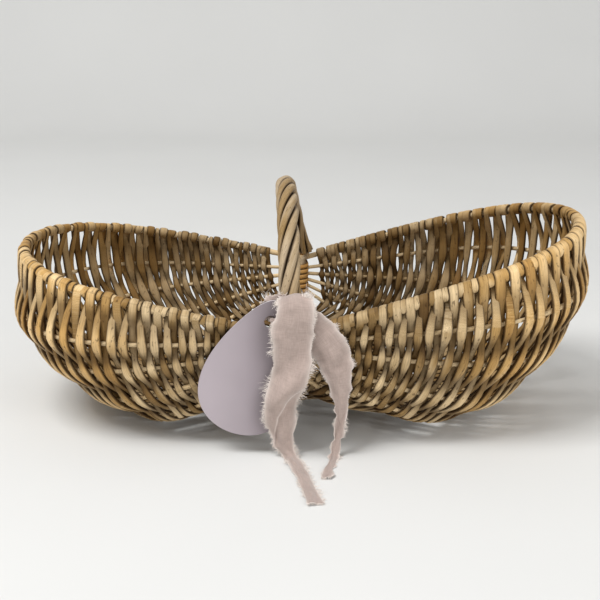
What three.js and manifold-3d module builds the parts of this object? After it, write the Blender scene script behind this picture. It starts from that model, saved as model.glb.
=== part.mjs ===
// Ribbed willow hand basket with a twisted bow handle, a cloth ribbon and an egg-shaped card tag.
// Millimetres, +Z up, +X along the basket, +Y away from the front, the origin on the ground under the middle.
import * as THREE from 'three';
import Module from 'manifold-3d';

const wasm = await Module();
wasm.setup();

// Overall form of the basket
const lobeReach = { left: 235, right: 238 };
const rimEndHeight = { left: 138.5, right: 160.5 };
const rimNodeHeight = 94;
const rimNodeDepth = 118;
const rimSwell = 67;
const upperRibSwell = 109;
const spineSwell = 24;
const spineHeight = 28.5;
const lowestRibHeight = 4.75;

// Mid-section of each end: the rim first, then the five ribs, as shares of the reach and of the rise
const reachShares = [0.983, 1, 0.911, 0.746, 0.551, 0.288, 0];
const riseShares = { left: [1, 0.635, 0.369, 0.129, 0], right: [1, 0.7, 0.385, 0.113, 0] };
const innerRiseShare = 0.52;

// How square each rib runs round its end: 1 is a sine, less is squarer
const rimFullnessShare = 1.185;
const upperRibFullnessShare = 1.19;
const spineFullnessShare = 0.62;

// Rods of the frame
const rimRadius = 2.6;
const hoopRadius = 2.6;
const ribRadius = 1.9;
const ribTipRadius = 1.4;
const clearance = 0.3;
const ribCount = 5;
const frameSteps = 22;
const rodSides = 5;

// Nodes, where the ribs meet the hoop
const frontFootShift = -5;
const rearFootShift = 2;
const firstRibDrop = 8.5;
const ribDropStep = 4.9;

// Handle bow
const handleRise = 91;
const handleLean = -9.5;
const handleSkewShare = 0.8;
const rearBulge = 5;
const rearBulgeRise = 7;
const handleRodCount = 5;
const handleRodRadius = 2.9;
const rodTipShare = 0.68;
const rodTaperLength = 45;
const handleLayLength = 135;
const bowSteps = 36;
const handleRodSteps = 36;

// Lashings
const lashingRadius = 1.4;
const lashingPitch = 4.9;
const lashingLowerTurns = 5;
const lashingStartTurnShare = 0.25;
const lashingSteps = 8;
const lashingClimbSteps = 4;
const lashingSides = 4;
const leastWindingGap = 0.4;

// Weavers
const weaverCount = 32;
const rowsPerWeaver = 2;
const turnRib = 4;
const weaveStart = 23;
const weaverThickness = 4.2;
const weaverThinness = 1.6;
const weaverLeastWidth = 1;
const weaverWidth = 6;
const crowdingShare = 0.33;
const squeezeShare = 1.8;
const thicknessShare = 0.72;
const weaveGap = 0.6;
const settlePasses = 3;
const turnSteps = 3;
const buttSteps = 2;

// Ribbon: its sleeve on the handle, its gathered pass through the tag and its two tails. The tails' places
// are across and forward from the front node, and their heights are shares of the height at which it folds.
const ribbonThickness = 1.2;
const ribbonSides = 20;
const ribbonSteps = 3;
const clothColumns = 4;
const sleeveFoot = 10;
const sleeveHeight = 18;
const foldRise = 35;
const passRadius = 3.4;
const passSides = 16;
const tailForward = 13.2;
const passBehindShares = [[3.2, 0.33, 2.4], [1.2, 0, 2.2], [-0.25, 0, 1.2], [0, 0, 0]];
const passFrontShares = [[0, 0], [1, 0], [3, 1]];
const frontTailPlaces = [
  [0.5, 0.8],
  [2.5, 4.4],
  [4, 10.8],
  [3.8, 13.6],
  [2.1, 13.4],
  [2.4, tailForward],
  [-0.2, tailForward],
  [-7.2, tailForward],
  [-7.4, tailForward],
  [-7.2, tailForward],
  [-4.4, 16.2],
  [1.2, 26],
  [11.4, 58.6],
  [19.7, 93.8],
];
const frontTailHeightShares = [
  0.905, 1.009, 1.003, 0.899, 0.805, 0.662, 0.519, 0.349, 0.246, 0.104, 0.0202, 0.0124, 0.0124, 0.0093,
];
const frontTailWidths = [16, 23, 26, 29.7, 31.9, 28.9, 27.8, 23.5, 23, 15.3, 12, 10, 10, 12.5];
const frontTailFolds = [0, 0.6, 0.6, 1, 1.4, 1.6, 2, 2, 1.6, 1.2, 0.8, 0.6, 0.6, 0.3];
const frontTailHung = 10;
const lyingTurnShare = 0.25;
const backTailPlaces = [
  [6, 3.2],
  [14, 8],
  [23, 9.6],
  [30.5, 9.8],
  [35, 10],
  [38, 10],
  [39, 10],
  [38, 10.2],
  [36, 11],
  [34, 15.4],
  [31, 32],
  [27.5, 52],
];
const backTailHeightShares = [
  0.868, 0.829, 0.748, 0.667, 0.574, 0.45, 0.328, 0.217, 0.109, 0.0186, 0.0124, 0.0093,
];
const backTailWidths = [18, 24, 28, 28, 26, 19, 13, 10, 9, 9, 9, 11];
const backTailWays = [90, 80, 50, 38, 24, 14, 8, 4, 0, 0, 0, 0];
const backTailFolds = [0, 0.4, 1, 1.4, 1.4, 1.4, 1.2, 1, 0.8, 0.6, 0.6, 0.3];

// Card tag
const tagLength = 112.5;
const tagWidth = 70;
const tagNarrowShare = 0.38;
const tagThickness = 1.2;
const tagHoleRadius = 5;
const tagHoleInset = 17.2;
const tagTilt = THREE.MathUtils.degToRad(19);
const tagHookAcross = -14;
const tagHookForward = 8.6;
const tagHookRise = 15.6;
const tagSteps = 40;
const tagHoleSteps = 12;

const spineIndex = ribCount + 1;
const hoopInset = rimRadius + clearance + hoopRadius;
const hoopNodeDepth = rimNodeDepth - hoopInset;
const foldHeight = rimNodeHeight + foldRise;

const mix = THREE.MathUtils.lerp;
const vec = (x, y, z) => new THREE.Vector3(x, y, z);
const tagHook = vec(
  frontFootShift + tagHookAcross,
  -rimNodeDepth - tagHookForward,
  rimNodeHeight + tagHookRise,
);

// A rib's share of the way from the first rib to the spine
function ribShare(index) {
  return Math.max(index - 1, 0) / (spineIndex - 1);
}

// The mid-section point of a frame rod: how far out and how high it runs at the end of the basket
function midSection(side, index) {
  const reach = lobeReach[side] * reachShares[index];
  if (index === spineIndex) return [reach, spineHeight];
  if (index === ribCount) return [reach, mix(lowestRibHeight, spineHeight, innerRiseShare)];
  return [reach, mix(lowestRibHeight, rimEndHeight[side], riseShares[side][index])];
}

// The height at which a frame rod leaves the node
function nodeHeight(index) {
  if (index === 0) return rimNodeHeight;
  return rimNodeHeight - firstRibDrop - ribDropStep * (index - 1);
}

// One frame rod as a line of points from the front node round the end to the back node
function frameLine(side, index) {
  const share = ribShare(index);
  const fullness = index === 0 ? rimFullnessShare : mix(upperRibFullnessShare, spineFullnessShare, share);
  const swell = index === 0 ? rimSwell : mix(upperRibSwell, spineSwell, share);
  const depth = index === 0 ? rimNodeDepth : hoopNodeDepth;
  const sign = side === 'left' ? -1 : 1;
  const [reach, height] = midSection(side, index);
  const points = [];
  for (let i = 0; i <= frameSteps; i += 1) {
    const turn = (Math.PI * i) / frameSteps;
    const out = Math.sin(turn) ** fullness * (i % frameSteps === 0 ? 0 : 1);
    const shift = (turn < Math.PI / 2 ? frontFootShift : rearFootShift) * Math.cos(turn) ** 2;
    const x = sign * reach * out + shift;
    const y = -Math.cos(turn) * (depth + swell * Math.sin(turn) ** 2);
    points.push(vec(x, y, mix(nodeHeight(index), height, out)));
  }
  return points;
}

// Distances along a line of points
function measure(points) {
  const distances = [0];
  for (let i = 1; i < points.length; i += 1) {
    distances.push(distances[i - 1] + points[i].distanceTo(points[i - 1]));
  }
  return { points, distances, length: distances[distances.length - 1] };
}

// The place at a distance along a measured line
function along(line, distance) {
  const { points, distances } = line;
  let i = 1;
  while (i < points.length - 1 && distances[i] < distance) i += 1;
  const share = (distance - distances[i - 1]) / (distances[i] - distances[i - 1]);
  return points[i - 1].clone().lerp(points[i], share);
}

// The direction of a measured line about a distance along it
function heading(line, distance, reach) {
  return along(line, distance + reach).sub(along(line, distance - reach)).normalize();
}

const frame = { left: [], right: [] };
for (const side of ['left', 'right']) {
  for (let index = 0; index <= spineIndex; index += 1) {
    frame[side].push(measure(frameLine(side, index)));
  }
}

// The radius of a frame rod at a share of its length: ribs are shaved thin at their tips
function rodRadius(index, share) {
  if (index === 0) return rimRadius;
  if (index === spineIndex) return hoopRadius;
  return mix(ribTipRadius, ribRadius, Math.sin(Math.PI * share));
}

// A closed solid from rings of points that all have the same count, capped or joined end to end
function loft(rings, closed = false) {
  const sides = rings[0].length;
  const corners = rings.flat();
  const faces = [];
  const last = closed ? rings.length : rings.length - 1;
  for (let i = 0; i < last; i += 1) {
    const here = i * sides;
    const next = ((i + 1) % rings.length) * sides;
    for (let j = 0; j < sides; j += 1) {
      const k = (j + 1) % sides;
      faces.push([here + j, here + k, next + k], [here + j, next + k, next + j]);
    }
  }
  if (!closed) {
    const end = (rings.length - 1) * sides;
    for (let j = 1; j < sides - 1; j += 1) {
      faces.push([0, j + 1, j], [end, end + j, end + j + 1]);
    }
  }
  return solidFrom(corners, faces);
}

// Turns corners and faces into a geometry whose faces point out
function solidFrom(corners, faces) {
  let volume = 0;
  for (const [a, b, c] of faces) {
    volume += corners[a].dot(corners[b].clone().cross(corners[c]));
  }
  const geometry = new THREE.BufferGeometry();
  const positions = corners.flatMap((corner) => corner.toArray());
  const order = faces.flatMap(([a, b, c]) => (volume > 0 ? [a, b, c] : [a, c, b]));
  geometry.setAttribute('position', new THREE.Float32BufferAttribute(positions, 3));
  geometry.setIndex(order);
  return geometry;
}

// A round rod along points, with a radius for each share of its length
function roundRod(points, radiusAt, sides, closed = false) {
  const rings = [];
  let normal = null;
  const count = points.length;
  for (let i = 0; i < count; i += 1) {
    const before = closed ? points[(i + count - 1) % count] : points[Math.max(i - 1, 0)];
    const after = closed ? points[(i + 1) % count] : points[Math.min(i + 1, count - 1)];
    const direction = after.clone().sub(before).normalize();
    if (normal === null) {
      const helper = Math.abs(direction.x) < Math.SQRT1_2 ? vec(1, 0, 0) : vec(0, 1, 0);
      normal = helper.cross(direction).normalize();
    }
    normal = normal.clone().addScaledVector(direction, -normal.dot(direction)).normalize();
    const across = direction.clone().cross(normal);
    const radius = radiusAt(i / (count - 1));
    const ring = [];
    for (let j = 0; j < sides; j += 1) {
      const angle = (2 * Math.PI * j) / sides;
      const arm = normal.clone().multiplyScalar(Math.cos(angle) * radius);
      ring.push(points[i].clone().add(arm).addScaledVector(across, Math.sin(angle) * radius));
    }
    rings.push(ring);
  }
  return loft(rings, closed);
}

// Materials
function willowBark() {
  return new THREE.MeshStandardMaterial({ color: 0xb9a070, roughness: 0.6, metalness: 0 });
}

function willowWeaver(share) {
  const color = new THREE.Color(0x87785a).lerp(new THREE.Color(0xc2a878), Math.sin(Math.PI * share));
  return new THREE.MeshStandardMaterial({ color, roughness: 0.62, metalness: 0 });
}

function willowHandle() {
  return new THREE.MeshStandardMaterial({ color: 0xb9aa8c, roughness: 0.6, metalness: 0 });
}

function peeledCane() {
  return new THREE.MeshStandardMaterial({ color: 0xc59d5c, roughness: 0.55, metalness: 0 });
}

function cottonRibbon() {
  return new THREE.MeshStandardMaterial({ color: 0xd2beb6, roughness: 0.9, metalness: 0 });
}

function lilacCard() {
  return new THREE.MeshStandardMaterial({ color: 0xb2a8af, roughness: 0.4, metalness: 0 });
}

// The rim is one rod bent into a closed saddle
function rimHoop() {
  const leftBack = frame.left[0].points.slice(1, -1).reverse();
  const points = [...frame.right[0].points, ...leftBack];
  return roundRod(points, () => rimRadius, rodSides, true);
}

// The bow of the handle from the front node over the top to the back node. It leans to the left, more at
// the back, and bulges to the right just above the back node.
function bowPoint(share) {
  const turn = Math.PI * share;
  const rise = handleRise * Math.sin(turn);
  const lean = handleLean * Math.sin(turn) * (1 - handleSkewShare * Math.cos(turn));
  const foot = turn > Math.PI / 2 ? rise / rearBulgeRise : 0;
  const bulge = rearBulge * foot * Math.exp(1 - foot);
  const x = mix(frontFootShift, rearFootShift, (1 - Math.cos(turn)) / 2) + lean + bulge;
  return vec(x, -Math.cos(turn) * hoopNodeDepth, rimNodeHeight + rise);
}

// The handle hoop runs over the top as the core of the bow and under the basket as its spine
function handleHoop() {
  const points = [];
  for (let i = 0; i <= bowSteps; i += 1) points.push(bowPoint(i / bowSteps));
  const spine = frame.right[spineIndex].points.slice().reverse();
  return roundRod([...points, ...spine], () => hoopRadius, rodSides, true);
}

// The lashing's own lines lie a clear rod's width off the hoop and off the rim
const hoopWrap = hoopRadius + clearance + lashingRadius;
const rimWrap = (rimRadius + 2 * clearance + lashingRadius) / Math.cos(Math.PI / (2 * lashingClimbSteps));
const lashingTop = rimNodeHeight + rimWrap + lashingRadius;
const footClearance = lashingTop + clearance;

// The rods of the handle lie round the core of the bow in a right-hand twist, and taper at the back
function handleRod(number) {
  const fine = [];
  for (let i = 0; i <= bowSteps; i += 1) fine.push(bowPoint(i / bowSteps));
  const line = measure(fine);
  const foot = footClearance + handleRodRadius - rimNodeHeight;
  const span = line.length - 2 * foot;
  const radius = (share) => {
    const left = (span * (1 - share)) / rodTaperLength;
    return handleRodRadius * mix(rodTipShare, 1, Math.min(left, 1));
  };
  const points = [];
  for (let i = 0; i <= handleRodSteps; i += 1) {
    const share = i / handleRodSteps;
    const distance = foot + span * share;
    const offset = hoopRadius + clearance + radius(share);
    const place = along(line, distance);
    const direction = heading(line, distance, handleRodRadius);
    const side = vec(1, 0, 0).addScaledVector(direction, -direction.x).normalize();
    const up = direction.clone().cross(side);
    const angle = (2 * Math.PI * distance) / handleLayLength + (2 * Math.PI * number) / handleRodCount;
    place.addScaledVector(side, Math.cos(angle) * offset);
    points.push(place.addScaledVector(up, Math.sin(angle) * offset));
  }
  return roundRod(points, radius, rodSides);
}

// A lashing winds round the hoop under the rim, climbs past the outside of the rim and ends on the hoop
function lashing(shift, facing) {
  const points = [];
  const hoopAxis = (height) => {
    const turn = Math.asin(THREE.MathUtils.clamp((height - rimNodeHeight) / handleRise, 0, 1));
    return bowPoint(facing < 0 ? turn / Math.PI : 1 - turn / Math.PI);
  };
  const windAt = (turns, height) => {
    const angle = 2 * Math.PI * turns;
    const { x, y } = hoopAxis(height);
    const across = facing * Math.sin(angle) * hoopWrap;
    points.push(vec(x + across, y - facing * Math.cos(angle) * hoopWrap, height));
  };
  const lowerSteps = (lashingLowerTurns + lashingStartTurnShare) * lashingSteps;
  for (let i = 0; i <= lowerSteps; i += 1) {
    const left = (lowerSteps - i) / lashingSteps;
    windAt(i / lashingSteps, rimNodeHeight - rimWrap - left * lashingPitch);
  }
  for (let i = 0; i <= lashingClimbSteps; i += 1) {
    const share = i / lashingClimbSteps;
    const angle = Math.PI * (share - 1 / 2);
    const x = shift + facing * hoopWrap * (1 - 2 * share);
    const y = facing * (rimNodeDepth + Math.cos(angle) * rimWrap);
    points.push(vec(x, y, rimNodeHeight + Math.sin(angle) * rimWrap));
  }
  points.push(vec(shift - facing * hoopWrap, facing * hoopNodeDepth, rimNodeHeight + rimWrap));
  const gap = windingGap(points, lashingRadius);
  console.log(`Least gap of the ${facing < 0 ? 'front' : 'back'} lashing to itself: ${gap.toFixed(2)} mm`);
  if (gap < leastWindingGap) throw new Error('the lashing lies on itself');
  return roundRod(points, () => lashingRadius, lashingSides);
}

// The least gap that a wound rod leaves to itself, between points more than half a turn apart
function windingGap(points, radius) {
  const line = measure(points);
  const halfTurn = Math.PI * hoopWrap;
  let least = Infinity;
  for (let i = 0; i < points.length; i += 1) {
    for (let j = i + 1; j < points.length; j += 1) {
      if (line.distances[j] - line.distances[i] < halfTurn) continue;
      least = Math.min(least, points[i].distanceTo(points[j]) - 2 * radius);
    }
  }
  return least;
}

// A rib runs from lashing to lashing, its shaved tips resting against them
function rib(side, index) {
  const line = frame[side][index];
  const seat = hoopWrap + lashingRadius + 3 * clearance;
  const inner = line.points.slice(1, -1);
  const points = [along(line, seat), ...inner, along(line, line.length - seat)];
  const radii = line.distances.map((distance) => rodRadius(index, distance / line.length));
  return roundRod(points, (share) => radii[Math.round(share * (radii.length - 1))], rodSides);
}

// Where a row crosses a frame rod: its place along the rod, the way out of the basket and the way to the rim
function crossing(side, index, row) {
  const share = index >= ribCount ? row.lowShare : row.rimShare;
  const crowding = mix(crowdingShare, 0, index / spineIndex);
  const spread = share - (crowding / (2 * Math.PI)) * Math.sin(2 * Math.PI * share);
  const line = frame[side][index];
  const distance = weaveStart + (line.length - 2 * weaveStart) * spread;
  const place = along(line, distance);
  return { line, place, direction: heading(line, distance, weaverWidth), distance };
}

// A crossing with its strand's section and the directions about it
function rowCrossing(side, index, row) {
  const here = crossing(side, index, row);
  const above = crossing(side, Math.max(index - 1, 0), row).place;
  const otherSide = side === 'left' ? 'right' : 'left';
  const below = index === spineIndex
    ? crossing(otherSide, ribCount, row).place
    : crossing(side, index + 1, row).place;
  const toRim = above.clone().sub(below);
  toRim.addScaledVector(here.direction, -toRim.dot(here.direction)).normalize();
  const out = here.direction.clone().cross(toRim).normalize();
  const middle = vec(0, 0, rimNodeHeight);
  if (out.dot(here.place.clone().sub(middle)) < 0) out.negate();
  const rows = index >= ribCount ? weaverCount * rowsPerWeaver : row.rimRows;
  const crowding = mix(crowdingShare, 0, index / spineIndex);
  const share = index >= ribCount ? row.lowShare : row.rimShare;
  const span = here.line.length - 2 * weaveStart;
  const pitch = (span / rows) * (1 - crowding * Math.cos(2 * Math.PI * share));
  const width = Math.min(pitch - weaveGap, weaverWidth);
  const thickness = THREE.MathUtils.clamp(width * thicknessShare, weaverThinness, weaverThickness);
  const radius = rodRadius(index, here.distance / here.line.length);
  return { ...here, toRim, out, width, thickness, radius, index, side };
}

// Evens out the way that a strand faces from rod to rod, and narrows it where it still turns
function settleRow(stations) {
  const neighbours = (i) => [stations[i - 1], stations[i + 1]].filter(Boolean);
  for (let pass = 0; pass < settlePasses; pass += 1) {
    const evened = stations.map((s, i) => {
      const out = s.out.clone().add(s.out);
      neighbours(i).forEach((t) => out.add(t.out));
      return out.normalize();
    });
    stations.forEach((s, i) => { s.out = evened[i]; });
  }
  stations.forEach((s, i) => {
    let turn = 0;
    for (const t of neighbours(i)) {
      const way = s.direction.clone().add(t.direction).normalize();
      const shift = Math.abs(s.out.clone().sub(t.out).dot(way));
      turn = Math.max(turn, shift / s.direction.dot(way));
    }
    const off = s.radius + weaveGap + s.thickness / 2;
    s.width = Math.max(s.width - turn * off * squeezeShare, weaverLeastWidth);
    s.thickness = Math.min(s.thickness, Math.max(s.width * thicknessShare, weaverThinness));
  });
}

// How far a strand stands off the middle of each rod, so that its slanting stretches clear the rods
function standOffs(stations) {
  const offs = stations.map((s) => s.radius + weaveGap + s.thickness / 2);
  for (let pass = 0; pass < settlePasses * settlePasses; pass += 1) {
    stations.forEach((s, i) => {
      let slant = 1;
      for (const j of [i - 1, i + 1]) {
        if (!stations[j]) continue;
        const gap = s.place.distanceTo(stations[j].place);
        slant = Math.max(slant, Math.hypot(1, (offs[i] + offs[j]) / gap));
      }
      const lean = Math.sqrt(1 - s.out.dot(s.direction) ** 2);
      offs[i] = s.thickness / 2 + ((s.radius + weaveGap) * slant) / lean;
    });
  }
  return offs;
}

// The stations of one row, in order, from rod to rod
function rowStations(row, from, to) {
  const order = [];
  for (let i = 0; i <= spineIndex; i += 1) order.push(['left', i]);
  for (let i = spineIndex - 1; i >= 0; i -= 1) order.push(['right', i]);
  const step = to > from ? 1 : -1;
  const stations = [];
  for (let i = from; i !== to + step; i += step) {
    const [side, index] = order[i];
    const sideRow = row[side];
    const station = rowCrossing(side, index, sideRow);
    station.outside = (sideRow.number + index) % 2 === 0;
    stations.push(station);
  }
  settleRow(stations);
  return stations;
}

// The rows of every weaver. Each goes to the far rim and back, with one short pair of rows in an end.
function planRows() {
  const total = weaverCount * rowsPerWeaver;
  const rimRows = total + weaverCount;
  const next = { left: 0, right: 0 };
  const sideRow = (side, low) => {
    const number = next[side];
    next[side] += 1;
    return { number, rimRows, rimShare: (number + 0.5) / rimRows, lowShare: (low + 0.5) / total };
  };
  const lastIndex = 2 * spineIndex;
  const weavers = [];
  for (let w = 0; w < weaverCount; w += 1) {
    const low = w * rowsPerWeaver;
    const runs = [];
    if (w % 2 === 1) {
      const down = sideRow('left', low);
      const up = sideRow('left', low);
      runs.push(rowStations({ left: down }, 0, turnRib), rowStations({ left: up }, turnRib, 0));
    }
    runs.push(rowStations({ left: sideRow('left', low), right: sideRow('right', low) }, 0, lastIndex));
    if (w % 2 === 0) {
      const down = sideRow('right', low + 1);
      const up = sideRow('right', low + 1);
      const turn = lastIndex - turnRib;
      runs.push(rowStations({ right: down }, lastIndex, turn), rowStations({ right: up }, turn, lastIndex));
    }
    const back = { left: sideRow('left', low + 1), right: sideRow('right', low + 1) };
    runs.push(rowStations(back, lastIndex, 0));
    weavers.push(runs);
  }
  return weavers;
}

// A ring of four corners across a strand
function strandRing(place, side, thick, width, thickness) {
  const arm = side.clone().multiplyScalar(width / 2);
  const rise = thick.clone().multiplyScalar(thickness / 2);
  return [
    place.clone().add(arm).add(rise),
    place.clone().sub(arm).add(rise),
    place.clone().sub(arm).sub(rise),
    place.clone().add(arm).sub(rise),
  ];
}

// Rings that carry a strand round a rod, from one side of it to the other
function turnRings(from, to, fromOff, toOff, towards) {
  const rings = [];
  const start = from.outside ? 1 : -1;
  const reach = (from.radius + weaveGap + from.thickness / 2) / Math.cos(Math.PI / (2 * turnSteps));
  for (let i = 0; i <= turnSteps; i += 1) {
    const share = i / turnSteps;
    const angle = Math.PI * share;
    const place = from.place.clone().lerp(to.place, share);
    const out = from.out.clone().lerp(to.out, share).normalize();
    const end = from.toRim.clone().lerp(to.toRim, share).normalize().multiplyScalar(towards);
    const spoke = out.multiplyScalar(start * Math.cos(angle)).addScaledVector(end, Math.sin(angle));
    const least = { 0: fromOff, [turnSteps]: toOff }[i] ?? reach;
    const off = Math.max(least, reach);
    const width = mix(from.width, to.width, share);
    place.addScaledVector(spoke, off);
    rings.push({ place, along: from.direction, thick: spoke, width, thickness: from.thickness });
  }
  return rings;
}

// One weaver: over and under the ribs, round the rim or a rib at each end of a row
function weaver(runs) {
  const rings = [];
  runs.forEach((stations, r) => {
    const offs = standOffs(stations);
    const first = r === 0 ? 0 : 1;
    for (let i = first; i < stations.length - 1; i += 1) {
      const s = stations[i];
      const place = s.place.clone().addScaledVector(s.out, s.outside ? offs[i] : -offs[i]);
      rings.push({ place, along: s.direction, thick: s.out, width: s.width, thickness: s.thickness });
    }
    const end = stations[stations.length - 1];
    const endOff = offs[offs.length - 1];
    const towards = end.index === 0 ? 1 : -1;
    const next = runs[r + 1];
    if (next) {
      rings.push(...turnRings(end, next[0], endOff, standOffs(next)[0], towards));
    } else {
      rings.push(...turnRings(end, end, endOff, endOff, towards).slice(0, buttSteps + 1));
    }
  });
  let thick = rings[0].thick;
  let side = rings[0].along;
  const corners = rings.map((ring) => {
    thick = ring.thick.dot(thick) < 0 ? ring.thick.clone().negate() : ring.thick;
    side = ring.along.dot(side) < 0 ? ring.along.clone().negate() : ring.along;
    return strandRing(ring.place, side, thick, ring.width, ring.thickness);
  });
  return cutAtGround(loft(corners));
}

// Cuts a solid flat at the ground where it reaches below it
function cutAtGround(geometry) {
  geometry.computeBoundingBox();
  const { min, max } = geometry.boundingBox;
  if (min.z >= 0) return geometry;
  const size = max.clone().sub(min).addScalar(weaverWidth);
  const block = new THREE.BoxGeometry(size.x, size.y, size.z);
  block.translate((min.x + max.x) / 2, (min.y + max.y) / 2, -size.z / 2);
  return geometryOf(manifoldOf(geometry).subtract(manifoldOf(block)));
}

// A solid from a geometry, its equal corners joined
function manifoldOf(geometry) {
  const position = geometry.getAttribute('position');
  const keys = new Map();
  const vertices = [];
  const lookup = [];
  for (let i = 0; i < position.count; i += 1) {
    const corner = [position.getX(i), position.getY(i), position.getZ(i)];
    const key = corner.join(' ');
    if (!keys.has(key)) {
      keys.set(key, vertices.length / 3);
      vertices.push(...corner);
    }
    lookup.push(keys.get(key));
  }
  const vertProperties = new Float32Array(vertices);
  const triVerts = Uint32Array.from(geometry.index.array, (i) => lookup[i]);
  return new wasm.Manifold(new wasm.Mesh({ numProp: 3, vertProperties, triVerts }));
}

// A geometry from a solid
function geometryOf(solid) {
  const mesh = solid.getMesh();
  const geometry = new THREE.BufferGeometry();
  geometry.setAttribute('position', new THREE.Float32BufferAttribute(mesh.vertProperties, 3));
  geometry.setIndex(Array.from(mesh.triVerts));
  return geometry;
}

// The egg-shaped tag hangs with its hole on the ribbon's gathered pass, its foot a little to the left
function cardTag() {
  const sag = tagHoleRadius - passRadius - clearance;
  const outline = [];
  for (let i = 0; i < tagSteps; i += 1) {
    const angle = (2 * Math.PI * i) / tagSteps;
    const narrow = 1 - tagNarrowShare * Math.cos(angle);
    const x = (tagWidth / 2) * Math.sin(angle) * narrow;
    const y = (tagLength / 2) * (Math.cos(angle) - 1);
    outline.push(new THREE.Vector2(x, y + tagHoleInset - sag));
  }
  const shape = new THREE.Shape(outline);
  const hole = [];
  for (let i = 0; i < tagHoleSteps; i += 1) {
    const angle = (2 * Math.PI * i) / tagHoleSteps;
    hole.push(new THREE.Vector2(tagHoleRadius * Math.cos(angle), tagHoleRadius * Math.sin(angle) - sag));
  }
  shape.holes.push(new THREE.Path(hole));
  const geometry = new THREE.ExtrudeGeometry(shape, { depth: tagThickness, bevelEnabled: false });
  geometry.translate(0, 0, -tagThickness / 2);
  geometry.rotateX(Math.PI / 2);
  geometry.rotateY(tagTilt);
  geometry.translate(tagHook.x, tagHook.y, tagHook.z);
  return geometry;
}

// A strip of cloth through its places, with a width, a way across and a depth of fold at each
function strip(places, widths, ways, folds) {
  const curve = new THREE.CatmullRomCurve3(places, false, 'centripetal');
  const count = (places.length - 1) * ribbonSteps;
  const rings = [];
  for (let i = 0; i <= count; i += 1) {
    const share = i / count;
    const from = Math.min(Math.floor(i / ribbonSteps), places.length - 2);
    const part = i / ribbonSteps - from;
    const direction = curve.getTangent(share);
    const across = ways[from].clone().lerp(ways[from + 1], part);
    across.addScaledVector(direction, -across.dot(direction)).normalize();
    const thick = direction.clone().cross(across);
    const width = mix(widths[from], widths[from + 1], part);
    const fold = mix(folds[from], folds[from + 1], part);
    rings.push(clothRing(curve.getPoint(share), across, thick, width, fold));
  }
  return loft(rings);
}

// A ring across a strip of cloth: out over one face and back over the other, with a soft fold in it
function clothRing(place, across, thick, width, fold) {
  const ring = [];
  for (const face of [1, -1]) {
    for (let j = 0; j <= clothColumns; j += 1) {
      const share = face * (j / clothColumns - 1 / 2);
      const lift = fold * Math.cos(2 * Math.PI * share) + (face * ribbonThickness) / 2;
      ring.push(place.clone().addScaledVector(across, share * width).addScaledVector(thick, lift));
    }
  }
  return ring;
}

// The sleeve of ribbon that is tied round the foot of the handle, above the lashing
function ribbonSleeve() {
  const inner = (hoopRadius + 2 * handleRodRadius + 2 * clearance) / Math.cos(Math.PI / ribbonSides);
  const rings = [];
  for (const [radius, ends] of [[inner, [0, 1]], [inner + ribbonThickness, [1, 0]]]) {
    for (let i = 0; i <= ribbonSteps; i += 1) {
      const rise = sleeveFoot + sleeveHeight * mix(ends[0], ends[1], i / ribbonSteps);
      const share = Math.asin(rise / handleRise) / Math.PI;
      const centre = bowPoint(share);
      const direction = bowPoint(share + 1 / bowSteps).sub(bowPoint(share - 1 / bowSteps)).normalize();
      const side = vec(1, 0, 0).addScaledVector(direction, -direction.x).normalize();
      const front = direction.clone().cross(side);
      const ring = [];
      for (let j = 0; j < ribbonSides; j += 1) {
        const angle = (2 * Math.PI * j) / ribbonSides;
        const arm = side.clone().multiplyScalar(Math.cos(angle) * radius);
        ring.push(centre.clone().add(arm).addScaledVector(front, Math.sin(angle) * radius));
      }
      rings.push(ring);
    }
  }
  return loft(rings, true);
}

// The gathered pass of the ribbon that carries the tag, from the sleeve through the hole and back
function ribbonPass() {
  const { x, y, z } = tagHook;
  const behind = y + passRadius + ribbonThickness;
  const front = -rimNodeDepth - tailForward;
  const at = (across, depth, rise) => vec(x + across * passRadius, depth, z + rise * passRadius);
  const places = [
    ...passBehindShares.map(([across, back, rise]) => at(across, behind + back * passRadius, rise)),
    at(0, y + 2 * tagThickness, 0),
    at(0, y - 2 * tagThickness, 0),
    ...passFrontShares.map(([across, rise]) => at(across, front, rise)),
  ];
  return roundRod(places, () => passRadius, passSides);
}

// A tail's places from its steps across and forward of the front node and its heights
function tailPlaces(steps, heightShares) {
  return steps.map(([across, forward], i) => {
    return vec(frontFootShift + across, -rimNodeDepth - forward, foldHeight * heightShares[i]);
  });
}

// The front tail folds over the top of the sleeve, hangs before the tag and lies out on the ground
function frontTail() {
  const across = vec(1, 0, 0);
  const lying = vec(1, -lyingTurnShare, 0);
  const places = tailPlaces(frontTailPlaces, frontTailHeightShares);
  const ways = places.map((place, i) => (i < frontTailHung ? across : lying));
  return strip(places, frontTailWidths, ways, frontTailFolds);
}

// The back tail leaves the sleeve to the right, hangs before the wall and turns forward on the ground
function backTail() {
  const places = tailPlaces(backTailPlaces, backTailHeightShares);
  const ways = backTailWays.map((degrees) => {
    const angle = THREE.MathUtils.degToRad(degrees);
    return vec(Math.cos(angle), 0, Math.sin(angle));
  });
  ways[ways.length - 1] = vec(1, -lyingTurnShare, 0);
  return strip(places, backTailWidths, ways, backTailFolds);
}

// The whole ribbon is one strip of cloth
function ribbon() {
  const parts = [ribbonSleeve(), ribbonPass(), frontTail(), backTail()].map(manifoldOf);
  const whole = parts.reduce((sum, piece) => sum.add(piece));
  return cutAtGround(geometryOf(whole));
}

const basket = new THREE.Group();

function addPiece(name, geometry, material) {
  const mesh = new THREE.Mesh(geometry, material);
  mesh.name = name;
  basket.add(mesh);
}

const pad = (number) => String(number).padStart(2, '0');

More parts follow.
